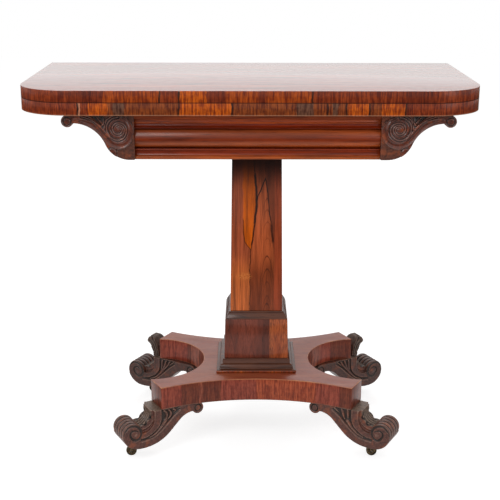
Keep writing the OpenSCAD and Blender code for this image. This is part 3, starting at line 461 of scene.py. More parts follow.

    # painted shadow, dark and with little coat, where the pillar meets the frieze above it, and a few pale
    # scuffs
    friezeShadow = add("MapRange", {"Value": height, "From": (0.53, 0.60), "To Max": 0.95}, smooth)
    polish = add("MapRange", {"Value": friezeShadow, "To": (0.24, 0.02)})
    shadowedUnderFrieze = add("Mix", {0: friezeShadow, 6: cracked, 7: "#1c0a06"}, rgba)
    flecks = add("TexNoise", {"Vector": place, "Scale": 1 / (3 * mm), "Detail": 3.0})
    flecks = add("MapRange", {"Value": flecks, "From": (0.46, 0.56), "To Max": 0.7}, smooth)
    scuffed = add("VectorMath", {0: place, 1: look["scuff"]}, "SUBTRACT")
    scuffed = add("VectorMath", {0: scuffed, 1: (1, 0, 1.9)}, "MULTIPLY")
    scuffed = add("VectorMath", {0: scuffed}, "LENGTH")
    scuffed = add("MapRange", {"Value": scuffed.outputs["Value"], "From": (9 * mm, 20 * mm), "To": (1.0,
            0.0)}, smooth)
    flecks = add("Math", {0: flecks, 1: scuffed}, "MULTIPLY")
    finished = add("Mix", {0: flecks, 6: shadowedUnderFrieze, 7: "#cf7a3c"}, rgba)
    bump = add("Bump", {"Height": streaks, "Strength": 0.1, "Distance": 0.4 * mm})
    surface = add("BsdfPrincipled", {"Base Color": finished, "Roughness": 0.4, "Normal": bump, "IOR": 1.5,
            "Specular IOR Level": 0.08, "Coat Weight": polish, "Coat Roughness": 0.14})
    return closeMaterial(material, surface)


redLook = {
    "grain": "X", "offset": (0, 0, 0), "stretch": 14, "waveSize": 60 * mm, "waveAmount": 0.012,
    "patchSize": 26 * mm, "bandSize": 6 * mm, "bandDepth": 0.7, "veinSize": 30 * mm, "veinDepth": 0.6,
    "poreDepth": 0.4, "ground": "#86350f", "warm": "#b05216", "dark": "#54200c",
    "roughness": 0.34, "unevenness": 0.10, "shine": 0.2, "coat": 0.3, "coatRoughness": 0.12,
}
edgeTones = {"dark": "#7a3013", "red": "#8c3a15", "brown": "#8a441a", "amber": "#a4480e",
    "orange": "#c05a08", "joint": "#45200f", "grey": "#6a4636", "pale": "#c08468"}
upperEdge = {
    "reach": 0.45, "tones": edgeTones, "strokes": "#a8806c",
    # painted shade: the upper leaf's lower arris is darkened where it sits on the lower leaf
    "arrisHeight": 0.7442, "arrisWearAndShade": 0.85, "arrisWearAndShadeTone": "#2c100a",
    # start of each piece of veneer in mm, from the middle of the front
    "pieces": [(-450, "red"), (-335, "dark"), (-274, "amber"), (-169, "joint"), (-168, "red"),
            (-135, "joint"), (-133, "orange"), (-84, "joint"), (-83, "dark"), (-49, "joint"),
            (-47, "amber"), (12, "joint"), (13, "dark"), (26, "amber"), (112, "joint"), (113, "red"),
            (153, "joint"), (154, "red"), (204, "joint"), (205, "red"), (282, "joint"), (284, "dark"),
            (335, "red"), (360, "red")],
}
lowerEdge = {
    "reach": 0.45, "tones": edgeTones, "strokes": "#a07866",
    "arrisHeight": 0.7212, "arrisWearAndShade": 0.38, "arrisWearAndShadeTone": "#c99676",
    "pieces": [(-450, "red"), (-371, "joint"), (-370, "red"), (-348, "joint"), (-347, "red"),
            (-321, "joint"), (-319, "pale"), (-313, "red"), (-301, "orange"), (-267, "brown"),
            (-254, "grey"), (-234, "brown"), (-137, "joint"), (-133, "orange"), (-37, "joint"),
            (-35, "brown"), (84, "grey"), (115, "brown"), (139, "joint"), (141, "brown"), (148, "grey"),
            (159, "joint"), (161, "brown"), (174, "joint"), (177, "orange"), (216, "joint"),
            (219, "brown"), (242, "orange"), (284, "joint"), (286, "dark"), (298, "red"), (337, "red")],
}
platformEdge = {
    "reach": 0.45, "arrisHeight": 0.1025, "arrisWearAndShade": 0.2, "arrisWearAndShadeTone": "#c99676", "strokes": "#c0a090",
    "tones": dict(edgeTones, dark="#743826", red="#96493a", brown="#945240", amber="#a85236",
            orange="#bc602e"),
    "pieces": [(-450, "dark"), (-300, "brown"), (-206, "red"), (-143, "dark"), (-108, "brown"),
            (-100, "dark"), (-60, "red"), (12, "joint"), (14, "amber"), (137, "red"), (184, "dark")],
}

pillarLook = {
    "heights": (0.265, 0.700), "vHeight": 0.413,
    # height, and place across the front, in mm
    "leftCrack": [(265, 1), (413, 2), (422, -4), (436, -11), (461, -14), (520, -14), (700, -16)],
    "rightCrack": [(265, 1), (380, 1), (413, 2.5), (443, 6), (475, 10.5), (500, 13), (521, 14), (545, 12),
            (570, 10), (700, 8)],
    "archLeft": [(265, 14), (521, 15), (545, 24), (565, 31), (700, 32)],
    "archRight": [(265, 49), (430, 48), (447, 46), (480, 42), (507, 39), (540, 36), (558, 34), (565, 32),
            (700, 32)],
    "drawn": [("rightCrack", 1.0, 0.8, 265, 700), ("rightCrack", 2.4, 0.9, 470, 575),
            ("rightCrack", 1.6, 0.8, 425, 470), ("leftCrack", 0.9, 0.75, 413, 480),
            ("archLeft", 1.3, 0.95, 519, 566), ("archRight", 1.1, 0.9, 470, 566),
            ("archRight", 2.2, 0.8, 430, 470)],
    "lowLeft": "#bc602e", "lowRight": "#7c381c", "topLeft": "#98482a", "topRight": "#a8502a",
    "strip": "#bc5406", "rightSheet": 0.051, "flameMiddle": 0.036, "flameSteepness": 300,
    "flames": [(297, 0.8), (314, 0.5), (345, 0.5), (373, 0.9), (401, 0.9), (440, 0.3), (474, 0.4),
            (500, 0.5), (524, 0.7)],
    "scuff": (-0.012, 0, 0.357), "line": "#1e0a06",
}
# painted light and shade by height: height in mm, and half of the factor on red, green and blue
friezeLook = dict(redLook, ground="#8a3a16", warm="#a8481a", dark="#602612", bandSize=4 * mm,
        bandDepth=0.55, veinDepth=0.3, patchSize=40 * mm, waveAmount=0.006, stretch=20, coat=0.25,
        coatRoughness=0.2, lightAndShadeByHeight=[
            (631, (0.60, 0.72, 0.70)), (638, (0.58, 0.70, 0.66)), (643, (0.34, 0.22, 0.16)),
            (652, (0.34, 0.22, 0.16)), (655, (0.30, 0.22, 0.20)), (659, (0.66, 0.74, 0.72)),
            (664, (0.66, 0.74, 0.72)), (669, (0.38, 0.28, 0.20)), (677, (0.38, 0.30, 0.24)),
            (683, (0.50, 0.58, 0.72)), (688, (0.50, 0.58, 0.72)), (692, (0.36, 0.20, 0.12)),
            (701, (0.36, 0.20, 0.12)), (703, (0.90, 1.0, 1.0)), (704.5, (0.66, 0.66, 0.74)),
            (721, (0.66, 0.66, 0.74))])
blockLook = dict(redLook, grain="Z", bandSize=2.6 * mm, bandDepth=0.55, stretch=9, veinDepth=0.35,
        poreDepth=0.6)
topLook = dict(redLook, ground="#8c3420", warm="#ac4c26", shine=0.4, coat=0.8, coatRoughness=0.06,
        stretch=22, unevenness=0.006)
standLook = dict(redLook, ground="#873f29", warm="#934c30", coat=0.35, coatRoughness=0.34, bandSize=3 * mm,
        bandDepth=0.25, unevenness=0.03, roughness=0.42, veinDepth=0.15, stretch=8, offset=(0.7, 0.2, 0.4))
mouldingLook = dict(redLook, ground="#56301f", warm="#683a26", dark="#301610", bandDepth=0.5)
# the look of the painted arris highlights
arrisHighlightLook = dict(redLook, veinDepth=0.1, poreDepth=0.1)
# the rubbed tone serves the worn edges and the painted highlight on the crests
footLook = {"deep": "#35201a", "red": "#704439", "warm": "#8a4c34", "wearAndPaintedLight": "#ab8a78", "polish": 0.12}
bracketLook = {"deep": "#32150c", "red": "#6c2c14", "warm": "#8e4018", "wearAndPaintedLight": "#a08074", "polish": 0.6}
rosewoods = {
    "topVeneer": ("rosewoodTopFrenchPolished", topLook),
    "standVeneer": ("rosewoodStandFrenchPolished", standLook),
    "friezeVeneer": ("rosewoodFriezeFrenchPolished", dict(friezeLook, offset=(0.3, 0.1, 0.7))),
    "endVeneer": ("rosewoodEndRunsFrenchPolished", dict(friezeLook, grain="Y", offset=(0.5, 0.3, 0.2))),
    # painted highlights along the top arrises of the upper leaf and of the platform
    "topArrisHighlight": ("rosewoodArrisPaintedHighlight",
            dict(arrisHighlightLook, ground="#d8a898", warm="#e4b4a0", dark="#b88070")),
    "standArrisHighlight": ("rosewoodPlatformArrisPaintedHighlight",
            dict(arrisHighlightLook, ground="#a8664a", warm="#b8784e", dark="#8a4c34")),
    "pillarVeneer": ("rosewoodPillarFrenchPolished", dict(redLook, grain="Z", offset=(0.2, 0.6, 0.1))),
    "blockDark": ("rosewoodBlockDarkSheet",
            dict(blockLook, ground="#662f21", warm="#7c3a28", offset=(0.9, 0.6, 0.1))),
    "blockPale": ("rosewoodBlockPaleSheet",
            dict(blockLook, ground="#a04a24", warm="#b05a30", offset=(0.4, 0.9, 0.3))),
    "mouldingWood": ("rosewoodMouldingsWaxed", mouldingLook),
}
materials = {
    "pillarFront": pillarFront("rosewoodPillarFrontFrenchPolished", pillarLook),
    "upperEdge": crossbanding("rosewoodCrossbandingUpperLeaf", upperEdge),
    "lowerEdge": crossbanding("rosewoodCrossbandingLowerLeaf", lowerEdge),
    "platformEdge": crossbanding("rosewoodCrossbandingPlatform", platformEdge),
    "carvedFeet": carvedRosewood("rosewoodCarvedFeetWorn", footLook),
    "carvedBrackets": carvedRosewood("rosewoodCarvedBracketsPolished", bracketLook),
    "pine": plainTimber("pinePlanedAged", "#b08757", "#8a6238"),
    "underside": plainTimber("mahoganyUndersideStained", "#5a3423", "#40241a"),
    "brass": agedMetal("brassCastTarnished", "#8a7048", "#33281b", 0.4, 0.85),
    "castorBrass": agedMetal("brassCastorsDirty", "#66543a", "#1e1711", 0.45, 0.8),
    "iron": agedMetal("ironForgedDark", "#57534f", "#332c28", 0.45, 0.85),
    "baize": feltedBaize("baizeFelted"),
}
for finish, (label, look) in rosewoods.items():
    materials[finish] = rosewood(label, look)
print("materials ready:", len(materials))


def bodyOf(node):
    for body, nodes in frame["record"]["behaviour"]["bodies"].items():
        if node in nodes:
            return body


def slotOf(node):
    for part in frame["record"]["subparts"]:
        if part["node"] == node:
            return part["material_slot"]


def copyOfNode(node, name):
    deselectAll()
    piece = bpy.data.objects.new(name, frame["nodes"][node].data.copy())
    bpy.context.collection.objects.link(piece)
    piece.data.materials.clear()
    pick(piece)
    bpy.ops.object.mode_set(mode="EDIT")
    bpy.ops.mesh.select_all(action="SELECT")
    bpy.ops.mesh.remove_doubles(threshold=0.00001)
    bpy.ops.mesh.dissolve_limited(angle_limit=math.radians(0.5))
    bpy.ops.object.mode_set(mode="OBJECT")
    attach(piece, bodyOf(node))
    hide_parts(node)
    return piece


def applyModifier(piece, name, kind, settings):
    pick(piece)
    modifier = piece.modifiers.new(name, kind)
    for key, value in settings.items():
        setattr(modifier, key, value)
    bpy.ops.object.modifier_apply(modifier=modifier.name)


bevelAngle, smoothAngle = 28, 40  # degrees: what counts as an arris, and what is shaded as one surface


def smoothWithinAngle():
    bpy.ops.object.shade_smooth_by_angle(angle=math.radians(smoothAngle))


def roundArrises(piece, width, segments=2):
    applyModifier(piece, "arrises", "BEVEL", {"width": width, "segments": segments,
            "limit_method": "ANGLE", "angle_limit": math.radians(bevelAngle), "use_clamp_overlap": True})
    smoothWithinAngle()


# cuts the whole mesh of the piece in edit mode by upright planes
def cutAcross(places, normal):
    for place in places:
        bpy.ops.mesh.select_all(action="SELECT")
        bpy.ops.mesh.bisect(plane_co=[float(place) * part for part in normal], plane_no=normal)


def finishFaces(piece, choose, finishes):
    for finish in finishes:
        piece.data.materials.append(materials[finish])
    for face in piece.data.polygons:
        face.material_index = choose(face)


leafSizes = {"arris": 1.6 * mm, "halfLength": 0.44, "halfDepth": 0.22, "corner": 0.104}


# distance along a leaf's edge from the middle of its front, negative to the left
def leafRim(x, y):
    straight = leafSizes["halfLength"] - leafSizes["corner"]
    turnY = leafSizes["corner"] - leafSizes["halfDepth"]
    side = 1 if x >= 0 else -1
    if abs(x) <= straight:
        return x
    if y <= turnY:
        return side * (straight + leafSizes["corner"] * math.atan2(abs(x) - straight, turnY - y))
    return side * (straight + leafSizes["corner"] * math.pi / 2 + y - turnY)


endsRim, backRim = 1.5, 2.2  # beyond what the lists of pieces reach


# the same for the platform
def platformRim(x, y, normal):
    return x if abs(normal.y) >= abs(normal.x) else endsRim + y


def drawRim(piece, place):
    rim = piece.data.uv_layers.new(name="rim")
    for face in piece.data.polygons:
        for corner in face.loop_indices:
            spot = piece.data.vertices[piece.data.loops[corner].vertex_index].co
            rim.data[corner].uv = (place(spot, face.normal), spot.z)


def makeLeaf(node, name, edgeFinish, paintsTopHighlight):
    leaf = copyOfNode(node, name)
    roundArrises(leaf, leafSizes["arris"], 3)
    drawRim(leaf, lambda spot, normal: backRim + spot.x if normal.y > 0.7 else leafRim(spot.x, spot.y))
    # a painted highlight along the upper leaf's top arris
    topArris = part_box(node)[1][2] - leafSizes["arris"]
    finishFaces(leaf, lambda face: 2 if paintsTopHighlight and face.center.z > topArris and 0.2 < face.normal.z < 0.98
                else 0 if abs(face.normal.z) > 0.55 else 1, ["topVeneer", edgeFinish, "topArrisHighlight"])
    return leaf


makeLeaf("upper_leaf", "upperLeaf", "upperEdge", True)
makeLeaf("lower_leaf", "lowerLeaf", "lowerEdge", False)
print("leaves done")

standX = 0.014  # the stand's middle, to the right of the closed top's middle
endRunX = 0.2325  # from there to where the mouldings turn onto the ends
plainRuns = {
    "cornice_moulding": ("corniceMoulding", 0.5 * mm),
    "cushion_front": ("cushionFront", 0.6 * mm),
    "cushion_back": ("cushionBack", 0.6 * mm),
    "cushion_ends": ("cushionEnds", 0.6 * mm),
    "skirt_moulding": ("skirtMoulding", 0.5 * mm),
}
for node, (name, arris) in plainRuns.items():
    run = copyOfNode(node, name)
    roundArrises(run, arris)
    finishFaces(run, lambda face: 1 if abs(face.center.x - standX) > endRunX else 0,
            ["friezeVeneer", "endVeneer"])

pillar = copyOfNode("column", "pillarShaft")
roundArrises(pillar, 1.2 * mm)
finishFaces(pillar, lambda face: 1 if face.normal.y < -0.7 else 0, ["pillarVeneer", "pillarFront"])
collar = copyOfNode("collar", "pillarCollar")
roundArrises(collar, 0.8 * mm)
finishFaces(collar, lambda face: 0, ["mouldingWood"])
block = copyOfNode("plinth_block", "plinthBlock")
roundArrises(block, 1.2 * mm)
blockJoint = 0.042  # where the dark sheet of veneer meets the pale one
pick(block)
bpy.ops.object.mode_set(mode="EDIT")
cutAcross([blockJoint], (1, 0, 0))
bpy.ops.object.mode_set(mode="OBJECT")
finishFaces(block, lambda face: 1 if face.center.x > blockJoint else 0, ["blockDark", "blockPale"])
socle = copyOfNode("plinth_moulding", "plinthMoulding")
roundArrises(socle, 0.6 * mm)
lowestBead = 0.1555  # top of the bead on the platform
finishFaces(socle, lambda face: 1 if face.center.z < lowestBead else 0, ["mouldingWood", "pillarVeneer"])
stand = copyOfNode("platform", "standPlatform")
roundArrises(stand, 1.4 * mm)
drawRim(stand, lambda spot, normal: platformRim(spot.x, spot.y, normal))
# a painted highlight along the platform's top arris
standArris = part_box("platform")[1][2] - 1.3 * mm
finishFaces(stand, lambda face: 3 if face.center.z > standArris and 0.2 < face.normal.z < 0.98
            else 0 if face.normal.z > 0.55 else 2 if face.normal.z < -0.55 else 1,
            ["standVeneer", "platformEdge", "underside", "standArrisHighlight"])
print("frieze, pillar and platform done")


# ways of carving: a height over a flat face, in millimetres, changed along drawn lines
def smoothLine(points, parts=6):
    knots = np.array(points, float)
    knots = np.vstack([2 * knots[0] - knots[1], knots, 2 * knots[-1] - knots[-2]])
    t = np.linspace(0, 1, parts, endpoint=False)[:, None]
    runs = [b + 0.5 * ((c - a) * t + (2 * a - 5 * b + 4 * c - d) * t ** 2 + (3 * b - a - 3 * c + d) * t ** 3)
            for a, b, c, d in zip(knots, knots[1:], knots[2:], knots[3:])]
    return np.vstack(runs + [knots[-2:-1]])


def alongLine(spots, line):
    nearest = np.full(len(spots), 1e6)
    progress = np.zeros(len(spots))
    steps = np.linalg.norm(np.diff(line, axis=0), axis=1)
    done = 0
    for start, end, step in zip(line, line[1:], steps):
        way = end - start
        share = np.clip((spots - start) @ way / max(step * step, 1e-9), 0, 1)
        away = np.linalg.norm(spots - start - share[:, None] * way, axis=1)
        closer = away < nearest
        nearest[closer] = away[closer]
        progress[closer] = (done + share[closer] * step) / steps.sum()
        done += step
    return nearest, progress


# stroke: line, half widths along it, level at its sides, level at its middle; a stroke that ends
# lower than it starts is a cut, and one that ends higher is a raised rib
def carveStrokes(spots, height, strokes):
    for line, halfWidths, side, middle in strokes:
        away, progress = alongLine(spots, smoothLine(line))
        reach = np.interp(progress, np.linspace(0, 1, len(halfWidths)), halfWidths)
        share = np.clip(1 - (away / reach) ** 2, 0, 1)
        level = side + (middle - side) * (np.sqrt(share) if middle < side else share)
        carved = np.minimum(height, level) if middle < side else np.maximum(height, level)
        height = np.where(share > 0, carved, height)
    return height


# a ground sunk inside an outline, with a wall about 1 mm wide
def sinkGround(spots, height, outline, depth):
    corners = np.array(outline, float)
    inside = np.zeros(len(spots), bool)
    for (ax, az), (bx, bz) in zip(corners, np.roll(corners, -1, axis=0)):
        crosses = (az > spots[:, 1]) != (bz > spots[:, 1])
        inside ^= crosses & (spots[:, 0] < (bx - ax) * (spots[:, 1] - az) / (bz - az + 1e-12) + ax)
    wall, _ = alongLine(spots, np.vstack([corners, corners[:1]]))
    return np.where(inside, np.minimum(height, -depth * np.clip(wall, 0, 1)), height)


def ring(middle, radius):
    turns = [2 * math.pi * step / 14 for step in range(15)]
    return [(middle[0] + radius * math.cos(turn), middle[1] + radius * math.sin(turn)) for turn in turns]


def dot(middle):
    return [(middle[0] - 0.5, middle[1]), (middle[0] + 0.5, middle[1])]


# the feet, in mm; a foot is measured along its arm from where the arm leaves the platform
footSizes = {
    "middleX": 14, "armX": 207.75, "armY": 138.25, "armAngle": 28.23, "platformUnderside": 102.5,
    "voxel": 1.05, "sideFrom": 19, "leafSideFrom": 10, "groundDepth": 3.0,
    "roll": (65.6, 62), "rollRadius": 21.8, "rollReach": (18.5, 22.4), "rollHalf": 29.4,
    "reedPitch": 11.8, "reedDepth": 3.6,
    "leafMiddle": (50, 100.5), "leafRadius": 28, "leafHalf": 20.6, "leafTop": 101.5,
    "ribDepth": 2.6, "ribSway": 2.4, "leafletPitch": 3.4, "eyeDepth": 7.5, "eyes": (0.30, 0.66),
    "fluteDepth": 2.0, "flutePitch": 7.2,
}
# strokes on a foot's sides: distance along the arm and height, in mm
footGround = [(-41, 101.5), (-25.7, 87.8), (-11.9, 75), (6.5, 58.8), (22.5, 49), (33, 46.6), (17.6, 54.2),
    (6.2, 65), (0.2, 79.6), (-0.8, 101.5)]
bandEdge = [(-39.6, 96.8), (-25.7, 86.3), (-11.9, 73.5), (6.5, 57.3), (22.5, 47.5), (46.9, 44.2)]
bandBead = [(-41.5, 93.9), (-27.8, 83.6), (-14, 70.6), (4.4, 54.4), (21.2, 44.2), (47, 40.6)]
curveInner = [(-1.3, 102.2), (-0.6, 79.8), (5.4, 65.3), (17, 54.4), (32.8, 46.7), (46.1, 45.4)]
curveBead = [(2.2, 102.2), (2.8, 80.2), (8.4, 67), (19.2, 57.4), (33.6, 50.2), (46.1, 48.6)]
curveOuter = [(15.3, 103.7), (15.8, 90.3), (20.7, 75.6), (32, 67), (42, 64.8)]
tailLine = [(-8.3, 75.8), (1, 64.5), (14, 53), (28, 47)]
toeSpiral = [(55, 65.5), (58.2, 68), (64.6, 70), (70.2, 66.8), (71.5, 60.4), (67.5, 52.7), (61.1, 47.8),
    (53.4, 49.3), (48.8, 55), (47.4, 62.6), (51.4, 72.5), (59.9, 79), (72.9, 79.8), (81.9, 71.8)]
knobMiddle = (-82, 90)
footStrokes = [
    (bandEdge, [2.2], 0, -2.2), (bandBead, [1.9], 0, 1.2),
    (curveInner, [2.0], 0, -2.4), (curveBead, [1.9], 0, 1.1),
    (curveOuter, [1.9], 0, 1.3), (tailLine, [5, 3.5, 2, 1], -2.2, 1.4),
    (toeSpiral, [1.6, 2.6, 2.6, 1.8], 0, -2.6), (dot((59.5, 60)), [7], -0.4, 1.2),
    (ring(knobMiddle, 7.2), [1.5], 0, -2.4),
    (dot(knobMiddle), [4.2], -0.8, 0.6),
]
threePetals = [[(-8, 101.9), (-6.3, 83)], [(-21.4, 100), (-14, 79)], [(-37.1, 98.8), (-17.3, 74.9)]]
hookedPetals = [[(-5.5, 99), (-10.5, 93.5), (-11.5, 86), (-8, 77)], [(-16.5, 98.5), (-20.5, 92), (-19, 84),
    (-12.5, 75)], [(-26.5, 98.5), (-31, 94.5), (-29, 88.5), (-22.5, 82), (-14.5, 73.5)]]
fanPetals = [[(-6.5, 99), (-5, 85), (-4, 76)], [(-17, 99), (-11.2, 84.2), (-6.4, 74.5)], [(-27, 99),
    (-20, 87.5), (-10, 76)], [(-37, 99), (-26, 87), (-13, 73)]]
# grooves on the sides of a rear foot's leaf
leafGrooves = [([(19.5, 103), (22, 114), (26, 124), (33, 132)], [1.4], 0, -2.4),
               ([(15, 103), (17.5, 117), (22, 130), (32, 138.5)], [1.4], 0, -2.4),
               ([(11, 103), (12.5, 120), (18, 135), (28, 145)], [1.4], 0, -2.4)]


# 0 for a surface that faces away, 1 for one that faces the carver
def turnedTo(normal):
    return np.clip((normal - 0.35) / 0.3, 0, 1)


# solid wood again, in cells small enough to carve, with its arrises worn a little
def readyToCarve(piece, voxel):
    applyModifier(piece, "cells", "REMESH", {"mode": "VOXEL", "voxel_size": voxel * mm})
    applyModifier(piece, "wornArrises", "SMOOTH", {"factor": 0.5, "iterations": 2})
    spots = np.empty(len(piece.data.vertices) * 3, np.float32)
    piece.data.vertices.foreach_get("co", spots)
    normals = np.empty_like(spots)
    piece.data.vertices.foreach_get("normal", normals)
    return spots.reshape(-1, 3).astype(float) / mm, normals.reshape(-1, 3).astype(float)


def finishCarving(piece, spots, relief, redness, finish):
    piece.data.vertices.foreach_set("co", (spots * mm).astype(np.float32).ravel())
    # the relief sets how much painted shade and painted highlight the carved wood takes
    for label, values in (("relief", relief), ("redness", redness)):
        layer = piece.data.attributes.new(label, "FLOAT", "POINT")
        layer.data.foreach_set("value", np.clip(values, 0, 1).astype(np.float32))
    piece.data.update()
    applyModifier(piece, "scraped", "SMOOTH", {"factor": 0.4, "iterations": 1})
    bpy.ops.object.shade_smooth()
    piece.data.materials.append(materials[finish])


def carveFoot(node, name, side, depth, petals):
    size = footSizes
    foot = copyOfNode(node, name)
    spots, normals = readyToCarve(foot, size["voxel"])
    armAngle = depth * size["armAngle"]
    turn = math.radians(armAngle if side > 0 else 180 - armAngle)
    start = np.array([size["middleX"] + side * size["armX"], depth * size["armY"]])
    along, across = np.array([math.cos(turn), math.sin(turn)]), np.array([-math.sin(turn), math.cos(turn)])
    out, over, up = (spots[:, :2] - start) @ along, (spots[:, :2] - start) @ across, spots[:, 2].copy()
    facingOut, facingOver, facingUp = normals[:, :2] @ along, normals[:, :2] @ across, normals[:, 2]
    relief, redness = np.full(len(out), 0.7), np.ones(len(out))

    # the sides: a sunk ground with raised petals between two bands, and scrolls at both ends
    flank = np.stack([out, up], 1)
    height = sinkGround(flank, np.zeros(len(out)), footGround, size["groundDepth"])
    petalStrokes = [(line, [2.8, 3.6, 3.2, 2.0], -size["groundDepth"], 1.2) for line in petals]
    height = carveStrokes(flank, height, petalStrokes + footStrokes)
    onLeafSide = (up > size["platformUnderside"] + 0.5) & (out > 6)
    height = np.where(onLeafSide, carveStrokes(flank, np.zeros(len(out)), leafGrooves), height)
    sideFrom = np.where(onLeafSide, size["leafSideFrom"], size["sideFrom"])
    facing = turnedTo(np.abs(facingOver)) * (np.abs(over) > sideFrom)
    over += np.sign(facingOver) * height * facing
    relief = np.where(facing > 0.3, 0.6 + height / 3.4, relief)
    inGround = (height < -0.3) & (facing > 0.3)
    redness = np.where(inGround, 0.6, redness)

    # the roll: rounded reeds side by side
    rollX, rollZ = size["roll"]
    rollOut, rollUp = out - rollX, up - rollZ
    radius = np.hypot(rollOut, rollUp)
    outward = (facingOut * rollOut + facingUp * rollUp) / np.maximum(radius, 1)
    inner, outer = size["rollReach"]
    onRoll = (radius > inner) & (radius < outer) & (np.abs(over) < size["rollHalf"]) & (outward > 0.4)
    offset = np.abs(((over / size["reedPitch"] + 0.5) % 1) - 0.5) * 2
    reed = size["rollRadius"] - size["reedDepth"] * (1 - np.sqrt(np.clip(1 - (offset * 0.98) ** 2, 0, 1)))
    scale = np.where(onRoll, reed / np.maximum(radius, 1), 1)
    out, up = rollX + rollOut * scale, rollZ + rollUp * scale
    # the reed tops take the painted highlight and the grooves the painted shade
    relief = np.where(onRoll, np.interp(offset, [0, 0.3, 0.5, 0.78, 1], [0.6, 0.65, 1.0, 0.1, 0]), relief)
    redness = np.where(onRoll, 0.8, redness)

    # the hollow above the toe: a ribbed leaf with two deep eyes on each side of it
    leafX, leafZ = size["leafMiddle"]
    leafOut, leafUp = out - leafX, up - leafZ
    far = np.hypot(leafOut, leafUp)
    share = (np.degrees(np.arctan2(leafUp, leafOut)) % 360 - 180) / 90
    inLeaf = (np.abs(over) < size["leafHalf"]) & (share > 0) & (share < 1.02)
    inLeaf = inLeaf & (up < size["leafTop"]) & ~onRoll
    pitch = 5.8 + 2.6 * share
    swayed = over + size["ribSway"] * np.sin(4 * share)
    ribs = size["ribDepth"] * (0.5 - 0.5 * np.cos(2 * np.pi * swayed / pitch))
    eyes = sum(np.exp(-((share - eye) / 0.085) ** 2) for eye in size["eyes"])
    edge = 12.8 + 1.6 * np.cos(2 * np.pi * (share - 0.30) / 0.36)
    beside = np.clip((np.abs(over) - edge) / 1.5, 0, 1)
    rimward = np.clip((np.abs(over) - 16.5) / 3, 0, 1)
    ripples = 1.6 + 0.8 * np.cos(2 * np.pi * np.abs(over) / size["leafletPitch"])
    leaflets = (ripples + size["eyeDepth"] * eyes) * (1 - 0.55 * rimward)
    cut = ribs * (1 - beside) + leaflets * beside
    near = inLeaf & (far > size["leafRadius"] - 2) & (far < size["leafRadius"] + cut + 0.6)
    scale = np.where(near, np.maximum(far, size["leafRadius"] + cut) / np.maximum(far, 1), 1)
    out, up = leafX + leafOut * scale, leafZ + leafUp * scale
    relief = np.where(near, 0.95 - cut / size["ribDepth"], relief)
    redness = np.where(near, 0.12, redness)
    flatTop = (facingUp > 0.7) & (up > 99) & (out > 0)
    redness = np.where(flatTop, 0.1, redness)

    # a rear foot's leaf stands in front of the arm's end, with flutes that follow it up
    upright = onLeafSide & (np.abs(over) < 24) & (facingOut > -0.4) & (np.abs(facingOver) < 0.5)
    waves = 0.5 - 0.5 * np.cos(2 * np.pi * over / size["flutePitch"])
    flutes = np.where(upright, size["fluteDepth"] * waves, 0)
    out -= flutes * facingOut
    over -= flutes * facingOver
    up -= flutes * facingUp
    # on the rear feet the relief is halved, which darkens them all over and takes away their crest highlights
    relief = np.where(upright, 0.9 - flutes / 2.4, relief) * (0.5 if depth > 0 else 1)
    redness = np.where(upright, 0.1, np.where(onLeafSide, 0.3, redness))

    spots[:, :2] = start + out[:, None] * along + over[:, None] * across
    spots[:, 2] = up
    finishCarving(foot, spots, relief, redness, "carvedFeet")


carveFoot("foot_front_right", "footFrontRight", 1, -1, threePetals)
carveFoot("foot_front_left", "footFrontLeft", -1, -1, hookedPetals)
carveFoot("foot_rear_right", "footRearRight", 1, 1, fanPetals)
carveFoot("foot_rear_left", "footRearLeft", -1, 1, fanPetals)
print("feet carved")

# strokes on a bracket's face: distance outward from the middle of the frieze and height, in mm
scrollMiddle = (263.3, 691.8)
scrollRadii = [23.5, 21.8, 20.5, 15.7, 12.5, 11, 9.3, 7.4, 5]  # a quarter turn apart
scrollTurns = np.arange(0, len(scrollRadii) - 0.99, 0.25)
scrollReach = np.interp(scrollTurns, range(len(scrollRadii)), scrollRadii)
scrollLine = np.stack([scrollMiddle[0] + scrollReach * np.sin(np.pi / 2 * scrollTurns),
                       scrollMiddle[1] + scrollReach * np.cos(np.pi / 2 * scrollTurns)], 1)
armRidge = [(334, 718.6), (328, 717), (315.3, 713), (304.5, 705.5), (294.6, 694.8), (285.8, 683.4),
    (276.8, 674)]
armGroove = [(333, 714.6), (316.8, 709.4), (306.9, 702.3), (297.3, 692), (288.4, 680.6), (280, 670.4)]
bandHollow = [(345, 710.5), (330, 707.5), (314.5, 701.4), (302.6, 692.6), (293.6, 682.8), (286.6, 674),
    (279, 667.2), (270.5, 662.4), (261, 661.4), (251, 663.6), (243, 670), (238.2, 679), (237, 690),
    (239.4, 700.5), (246, 709.5), (255, 714)]
bracketGround = [(290.5, 717.5), (322, 719.2), (311, 712.4), (300.5, 703), (291.5, 691.2), (288.2, 699),
    (286.6, 708)]
smallScroll = (358.5, 706.8)
# in mm: the face is measured from the middle of the table
bracketSizes = {"voxel": 0.85, "face": 198, "groundDepth": 2.4, "leanFrom": 236, "leanWidth": 20}
bracketStrokes = [
    (scrollLine, [4.0, 3.8, 3.4, 3.0], 0, -2.4), (scrollLine, [1.6], -2.4, 1.0),
    (armGroove, [1.3], 0, -1.8), (armRidge, [1.5], -0.8, 1.0),
    (dot(scrollMiddle), [3.6], -1.6, 1.0),
    ([(291, 701), (289.8, 714)], [1.5, 2.6, 1.2], -2.4, -0.2),
    ([(292.5, 700), (303, 713.5)], [1.5, 3.2, 1.4], -2.4, 0.2),
    (ring(smallScroll, 7.5), [1.5], 0, -2.0),
    (dot(smallScroll), [4], -0.6, 0.5),
    ([(268, 651), (272.5, 655.6), (279, 656.6), (284, 652.8)], [1.2, 1.6, 1.2], 0, -1.6),
]


